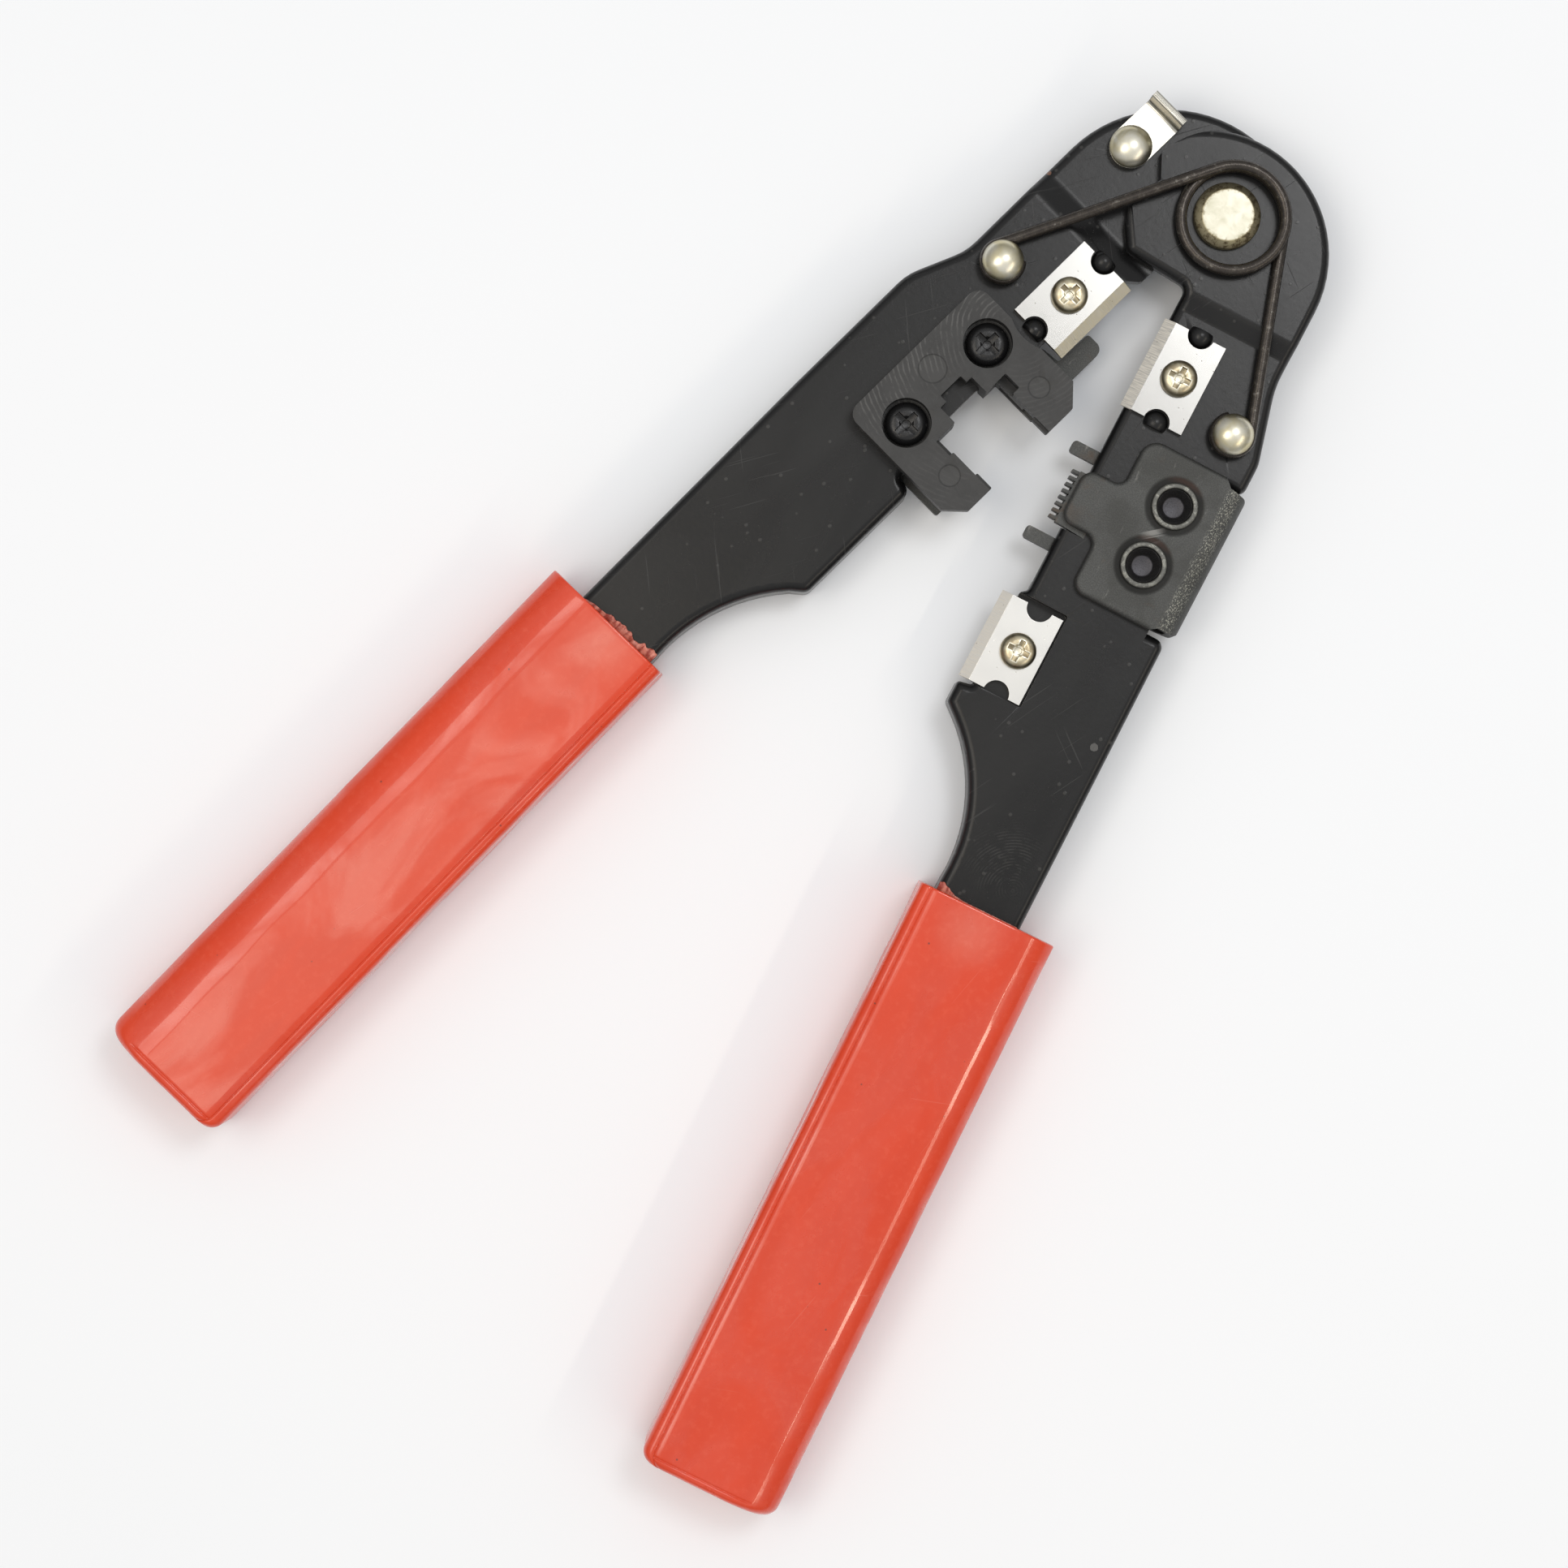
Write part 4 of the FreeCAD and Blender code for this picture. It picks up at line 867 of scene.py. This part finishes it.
# ---- spring -------------------------------------------------------------------------------------
WIRE_R = 0.825
WIRE_AROUND = 20
TIP_REACH, TIP_SIZE = 0.12, 0.72      # the cut ends are rounded over
COIL_CENTRE = (0.9, 0.2)
COIL_R = 7.4
COIL_LOW, COIL_HIGH = 11.525, 13.275
HOOK_R = 2.525                        # the ends hook round the posts
HOOK_TURN = 250.0                     # degrees
DIE_POST, DIE_LEAN, DIE_HOOK_Z = (-17.7, -27.3), 154.37, 11.6
PUNCH_POST, PUNCH_LEAN, PUNCH_HOOK_Z = (22.728, -21.215), 36.37, 11.3


def eased(a, b, t):
    """From a to b as t goes from 0 to 1, level at both ends."""
    return a + (b - a) * (1 - math.cos(math.pi * t)) / 2


def round_the(centre, r, start, turn, z0, z1, step=4.0):
    """The wire's middle round a centre, clockwise, with a point every step degrees."""
    count = math.ceil(abs(turn) / step)
    spots = []
    for i in range(count + 1):
        a = math.radians(start - turn * i / count)
        up = eased(z0, z1, i / count)
        spots.append(Vector((centre[0] + r * math.cos(a), centre[1] + r * math.sin(a), up)))
    return spots


def straight(a, b, count=24):
    """The wire's middle between two points, without the points themselves."""
    spots = [a.lerp(b, i / count) for i in range(1, count)]
    for i, spot in enumerate(spots, 1):
        spot.z = eased(a.z, b.z, i / count)
    return spots


def spring_line():
    """The wire's middle: hook, leg, coil, leg, hook."""
    hook_a = round_the(DIE_POST, HOOK_R, DIE_LEAN + HOOK_TURN, HOOK_TURN, DIE_HOOK_Z, DIE_HOOK_Z, 8)
    turn = (DIE_LEAN - PUNCH_LEAN) % 360 + 360
    coil = round_the(COIL_CENTRE, COIL_R, DIE_LEAN, turn, COIL_HIGH, COIL_LOW)
    hook_b = round_the(PUNCH_POST, HOOK_R, PUNCH_LEAN, HOOK_TURN, PUNCH_HOOK_Z, PUNCH_HOOK_Z, 8)
    return hook_a + straight(hook_a[-1], coil[0]) + coil + straight(coil[-1], hook_b[0]) + hook_b


def make_spring(material):
    """Round wire along the spring's line, from its hook on one post to its hook on the other."""
    line = spring_line()
    around = WIRE_AROUND
    end = len(line) - 1
    stations = [(0, -TIP_REACH, TIP_SIZE)] + [(i, 0.0, 1.0) for i in range(end + 1)]
    stations.append((end, TIP_REACH, TIP_SIZE))
    points = []
    for i, out, size in stations:
        ahead = (line[min(i + 1, end)] - line[max(i - 1, 0)]).normalized()
        side = ahead.cross(Vector((0, 0, 1))).normalized()
        up = side.cross(ahead)
        for j in range(around):
            a = 2 * math.pi * j / around
            points.append(line[i] + ahead * out + (side * math.cos(a) + up * math.sin(a)) * WIRE_R * size)
    faces = ring_faces(len(stations), around)
    faces.append(tuple(reversed(range(around))))
    last = (len(stations) - 1) * around
    faces.append(tuple(last + i for i in range(around)))
    spring = new_piece("return_spring", mesh_from("return_spring", points, faces), material)
    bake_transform(spring)
    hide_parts("torsion_spring")


# ---- properties ---------------------------------------------------------------------------------
def colour_setting(name, description, default):
    """A colour in linear light."""
    return FloatVectorProperty(name=name, description=description, default=default, size=3, min=0, max=1,
                               subtype="COLOR")


class CrimperLook(bpy.types.PropertyGroup):
    """Colours of the finishes."""
    enamel: colour_setting("Enamel", "Stoved enamel on both arms", (0.008, 0.008, 0.0084))
    grip: colour_setting("Grip", "PVC of the grips", (0.71, 0.049, 0.0068))
    grip_deep: colour_setting("Grip shade", "The PVC's darker clouds", (0.66, 0.0442, 0.0068))
    plastic: colour_setting("Die plastic", "Moulded die", (0.031, 0.031, 0.031))
    phosphate: colour_setting("Phosphate", "Bracket and plates", (0.097, 0.099, 0.096))
    blade: colour_setting("Blade steel", "Ground blades", (0.65, 0.642, 0.618))
    zinc: colour_setting("Zinc", "Screws, posts and rivets", (0.77, 0.745, 0.64))
    zinc_warm: colour_setting("Zinc, warm", "Yellow bloom on the zinc", (0.66, 0.6, 0.4))
    wire: colour_setting("Wire", "Spring wire's scale", (0.042, 0.036, 0.032))


def length_setting(name, description, default):
    """A length drawn in the scene's own unit; the default is in millimetres."""
    return FloatProperty(name=name, description=description, default=default * MM, min=0, precision=5,
                         unit="LENGTH")


class CrimperEdges(bpy.types.PropertyGroup):
    """How far edges are broken."""
    arm: length_setting("Arms", "Round that the enamel gives sheared edges", 0.25)
    blade: length_setting("Blades", "Broken edge of the blades", 0.05)
    screw: length_setting("Screws", "Broken edge of screws and rivets", 0.07)
    die: length_setting("Die", "Edge radius of the moulded die", 0.14)
    plate: length_setting("Plates", "Edge radius of pressed plates", 0.1)


def power_setting(name, description, default):
    """A lamp's power in watts."""
    return FloatProperty(name=name, description=description, default=default, min=0, unit="POWER")


class CrimperStage(bpy.types.PropertyGroup):
    """Floor, lights and camera."""
    floor: colour_setting("Floor", "Pale floor", (0.912, 0.935, 0.968))
    floor_reach: length_setting("Floor reach", "Half the floor's side", 30000)
    sky: FloatProperty(name="Overhead", description="Brightness straight overhead", default=1.0, min=0)
    horizon: FloatProperty(name="Horizon", description="Brightness at the horizon", default=0.32, min=0)
    left_box: power_setting("Left softbox", "Broad light beyond the left grip", 0.8)
    face_box: power_setting("Face softbox", "Light seen in the left grip's face", 0.27)
    head_box: power_setting("Head softbox", "Light beyond the head", 0.9)
    right_box: power_setting("Right strip", "Narrow warm light along the right grip", 0.5)
    lens: FloatProperty(name="Lens", description="Focal length", default=85.0, min=20, unit="CAMERA")
    width: length_setting("Field", "Width seen at the blades", 223.3)


def palette():
    """The colours chosen in the scene."""
    return bpy.context.scene.crimper_look


def edges():
    """The edge radii chosen in the scene."""
    return bpy.context.scene.crimper_edges


# ---- operators ----------------------------------------------------------------------------------
class CRIMPER_OT_arms(bpy.types.Operator):
    """Enamel both pressed arms"""
    bl_idname = "crimper.arms"
    bl_label = "Arms"

    def execute(self, context):
        finish_node("die_arm", die_arm_enamel(palette()), edges().arm)
        finish_node("punch_arm", punch_arm_enamel(palette()), edges().arm)
        return {"FINISHED"}


class CRIMPER_OT_grips(bpy.types.Operator):
    """Mould the two PVC grips with their seams and mouth flash"""
    bl_idname = "crimper.grips"
    bl_label = "Grips"

    def execute(self, context):
        for grip in GRIPS:
            make_grip(grip, grip_pvc(palette(), grip), flash_pvc(grip))
        return {"FINISHED"}


class CRIMPER_OT_die(bpy.types.Operator):
    """Finish the moulded die, its screws and its plate"""
    bl_idname = "crimper.die"
    bl_label = "Die"

    def execute(self, context):
        finish_node("crimp_die", moulded_plastic(palette()), edges().die)
        finish_node("die_screws", black_screw(), edges().screw)
        finish_node("die_backing_plate", phosphate_plain("backing plate phosphate", 0.0, palette()))
        return {"FINISHED"}


class CRIMPER_OT_punch(bpy.types.Operator):
    """Finish the bracket, its rivets, the comb and the guides"""
    bl_idname = "crimper.punch"
    bl_label = "Punch and bracket"

    def execute(self, context):
        finish_node("punch_bracket", bracket_phosphate(palette()))
        finish_node("bracket_rivets", rolled_rivet())
        make_flares(flare_steel())
        for name in ("contact_comb", "guide_plate", "strain_relief_punch"):
            material = phosphate_plain(plain_name(name, "steel"), OPEN_ANGLE, palette(), browned=0.12)
            finish_node(name, material, edges().plate)
        return {"FINISHED"}


class CRIMPER_OT_blades(bpy.types.Operator):
    """Finish the three reversible blades"""
    bl_idname = "crimper.blades"
    bl_label = "Blades"

    def execute(self, context):
        for blade in BLADES:
            finish_node(blade.node, blade_steel(blade, palette()), edges().blade, ground=True)
        return {"FINISHED"}


class CRIMPER_OT_fasteners(bpy.types.Operator):
    """Finish the zinc screws, spring posts, pivot and hidden steel hardware"""
    bl_idname = "crimper.fasteners"
    bl_label = "Screws, posts and rivets"

    def execute(self, context):
        for name, turn, heads in (("die_blade_screw", 0.0, DIE_BLADE_HEADS),
                                  ("punch_blade_screws", OPEN_ANGLE, PUNCH_BLADE_HEADS)):
            finish_node(name, zinc_screw(plain_name(name, "zinc"), turn, palette(), heads), edges().screw)
        for name, turn, rim_z in DOMES:
            finish_node(name, zinc_dome(plain_name(name, "zinc"), turn, palette(), rim_z), edges().screw)
        finish_node("pivot_rivet", zinc_pivot(), edges().screw)
        for name in ("die_nuts", "die_spacers", "die_blade_nut", "pivot_washer", "punch_blade_nuts"):
            turn = OPEN_ANGLE if name.startswith("punch") else 0.0
            finish_node(name, plain_steel(plain_name(name, "steel"), turn), edges().screw)
        return {"FINISHED"}


class CRIMPER_OT_latch(bpy.types.Operator):
    """Plate the latch"""
    bl_idname = "crimper.latch"
    bl_label = "Latch"

    def execute(self, context):
        finish_node("latch_plate", latch_nickel(), edges().screw)
        return {"FINISHED"}


class CRIMPER_OT_spring(bpy.types.Operator):
    """Wind the return spring"""
    bl_idname = "crimper.spring"
    bl_label = "Spring"

    def execute(self, context):
        make_spring(spring_wire(palette()))
        return {"FINISHED"}


CAMERA_TURN = math.atan2(0.7145, 0.700)
CAMERA_RIGHT = Vector((math.cos(CAMERA_TURN), math.sin(CAMERA_TURN), 0))
CAMERA_UP = Vector((-math.sin(CAMERA_TURN), math.cos(CAMERA_TURN), 0))
VIEW_MIDDLE = Vector((13.56, -101.35, 9.5)) * MM
SENSOR_WIDTH = 36


def from_middle(right, up, height):
    """A point placed from the view's middle, in metres."""
    return VIEW_MIDDLE + CAMERA_RIGHT * right + CAMERA_UP * up + Vector((0, 0, height))


class Softbox(NamedTuple):
    """A rectangular light: its place to the camera's right, up and above the view's middle, its
    width and length, which setting gives its power, which way its length runs, and its tint."""
    name: str
    place: tuple
    size: tuple
    setting: str
    along: tuple
    tint: tuple


WARM = (1.0, 0.88, 0.7)
SOFTBOXES = (
    Softbox("left softbox", (-0.31, 0.04, 0.62), (0.2, 0.42), "left_box", (0.62, 0.78), (1.0, 0.93, 0.83)),
    Softbox("face softbox", (-0.152, -0.052, 0.68), (0.13, 0.3), "face_box", (1, 1), WARM),
    Softbox("head softbox", (0.226, 0.216, 0.68), (0.2, 0.2), "head_box", (1, 1), (1.0, 1.0, 1.0)),
    Softbox("right strip", (0.453, -0.288, 0.45), (0.02, 0.58), "right_box", (0.475, 0.88), WARM),
)


def hang_softbox(box, watts):
    """Hangs a softbox in its place, facing the view's middle."""
    lamp = bpy.data.lights.new(box.name, "AREA")
    lamp.color = box.tint
    lamp.shape = "RECTANGLE"
    lamp.size, lamp.size_y = box.size
    lamp.energy = watts
    holder = bpy.data.objects.new(box.name, lamp)
    spot = from_middle(*box.place)
    along = CAMERA_RIGHT * box.along[0] + CAMERA_UP * box.along[1]
    back = (spot - VIEW_MIDDLE).normalized()
    side = along.cross(back).normalized()
    axes = Matrix((side, back.cross(side), back)).transposed().to_4x4()
    holder.matrix_world = Matrix.Translation(spot) @ axes
    bpy.context.scene.collection.objects.link(holder)


class CRIMPER_OT_stage(bpy.types.Operator):
    """Lay the pale floor and set lights and camera"""
    bl_idname = "crimper.stage"
    bl_label = "Stage"

    def execute(self, context):
        stage = context.scene.crimper_stage
        self.lay_floor(stage)
        for box in SOFTBOXES:
            hang_softbox(box, getattr(stage, box.setting))
        self.place_camera(context, stage)
        self.light_sky(context, stage)
        return {"FINISHED"}

    def lay_floor(self, stage):
        """A wide level sheet in a pale, faintly clouded finish."""
        f = Finish("pale floor")
        tone = f.speckle(f.place(), 0.01, detail=2.0)
        pale = tuple(stage.floor)
        floor_look = f.done(f.mix(tone, tuple(c * 0.985 for c in pale), pale), 0.9)
        mesh = bpy.data.meshes.new("floor")
        reach = stage.floor_reach
        corners = [(-reach, -reach, 0), (reach, -reach, 0), (reach, reach, 0), (-reach, reach, 0)]
        mesh.from_pydata(corners, [], [(0, 1, 2, 3)])
        new_piece("floor", mesh, floor_look)

    def place_camera(self, context, stage):
        """Straight above the view's middle, as far off as the lens needs for the field."""
        camera = bpy.data.cameras.new("camera")
        camera.sensor_width = SENSOR_WIDTH
        camera.lens = stage.lens
        holder = bpy.data.objects.new("camera", camera)
        holder.location = from_middle(0, 0, stage.width / SENSOR_WIDTH * stage.lens)
        holder.rotation_euler = (0, 0, CAMERA_TURN)
        context.scene.collection.objects.link(holder)
        context.scene.camera = holder

    def light_sky(self, context, stage):
        """Soft surround, brightest overhead."""
        f = Finish("studio", "worlds")
        spot = f.node("ShaderNodeTexCoord", {}, {}, output="Generated")
        _, _, up = f.split(spot)
        glow = f.node("ShaderNodeMapRange", {"interpolation_type": "SMOOTHSTEP"},
                      {"Value": up, "From Min": 0.0, "From Max": 0.92, "To Min": stage.horizon,
                       "To Max": stage.sky})
        shade = f.node("ShaderNodeBackground", {}, {"Strength": glow})
        f.node("ShaderNodeOutputWorld", {}, {"Surface": shade})
        context.scene.world = f.owner
        context.scene.view_settings.view_transform = "Standard"


class CRIMPER_PT_panel(bpy.types.Panel):
    """Crimping tool"""
    bl_label = "Crimping tool"
    bl_idname = "CRIMPER_PT_panel"
    bl_space_type = "VIEW_3D"
    bl_region_type = "UI"
    bl_category = "Crimper"

    def draw(self, context):
        scene = context.scene
        for group in (scene.crimper_look, scene.crimper_edges, scene.crimper_stage):
            rows = self.layout.box()
            for name in group.__annotations__:
                rows.prop(group, name)
        for step in STEPS:
            self.layout.operator(step.bl_idname)


STEPS = (CRIMPER_OT_arms, CRIMPER_OT_grips, CRIMPER_OT_die, CRIMPER_OT_punch, CRIMPER_OT_blades,
         CRIMPER_OT_fasteners, CRIMPER_OT_latch, CRIMPER_OT_spring, CRIMPER_OT_stage)
GROUPS = {"crimper_look": CrimperLook, "crimper_edges": CrimperEdges, "crimper_stage": CrimperStage}


def register():
    for group in GROUPS.values():
        bpy.utils.register_class(group)
    for step in STEPS + (CRIMPER_PT_panel,):
        bpy.utils.register_class(step)
    for name, group in GROUPS.items():
        setattr(bpy.types.Scene, name, PointerProperty(type=group))


def unregister():
    for name in GROUPS:
        delattr(bpy.types.Scene, name)
    for item in (CRIMPER_PT_panel,) + STEPS[::-1] + tuple(GROUPS.values()):
        bpy.utils.unregister_class(item)


def main():
    register()
    for step in STEPS:
        name = step.bl_idname.split(".")[1]
        getattr(bpy.ops.crimper, name)()


if __name__ == "__main__":
    main()
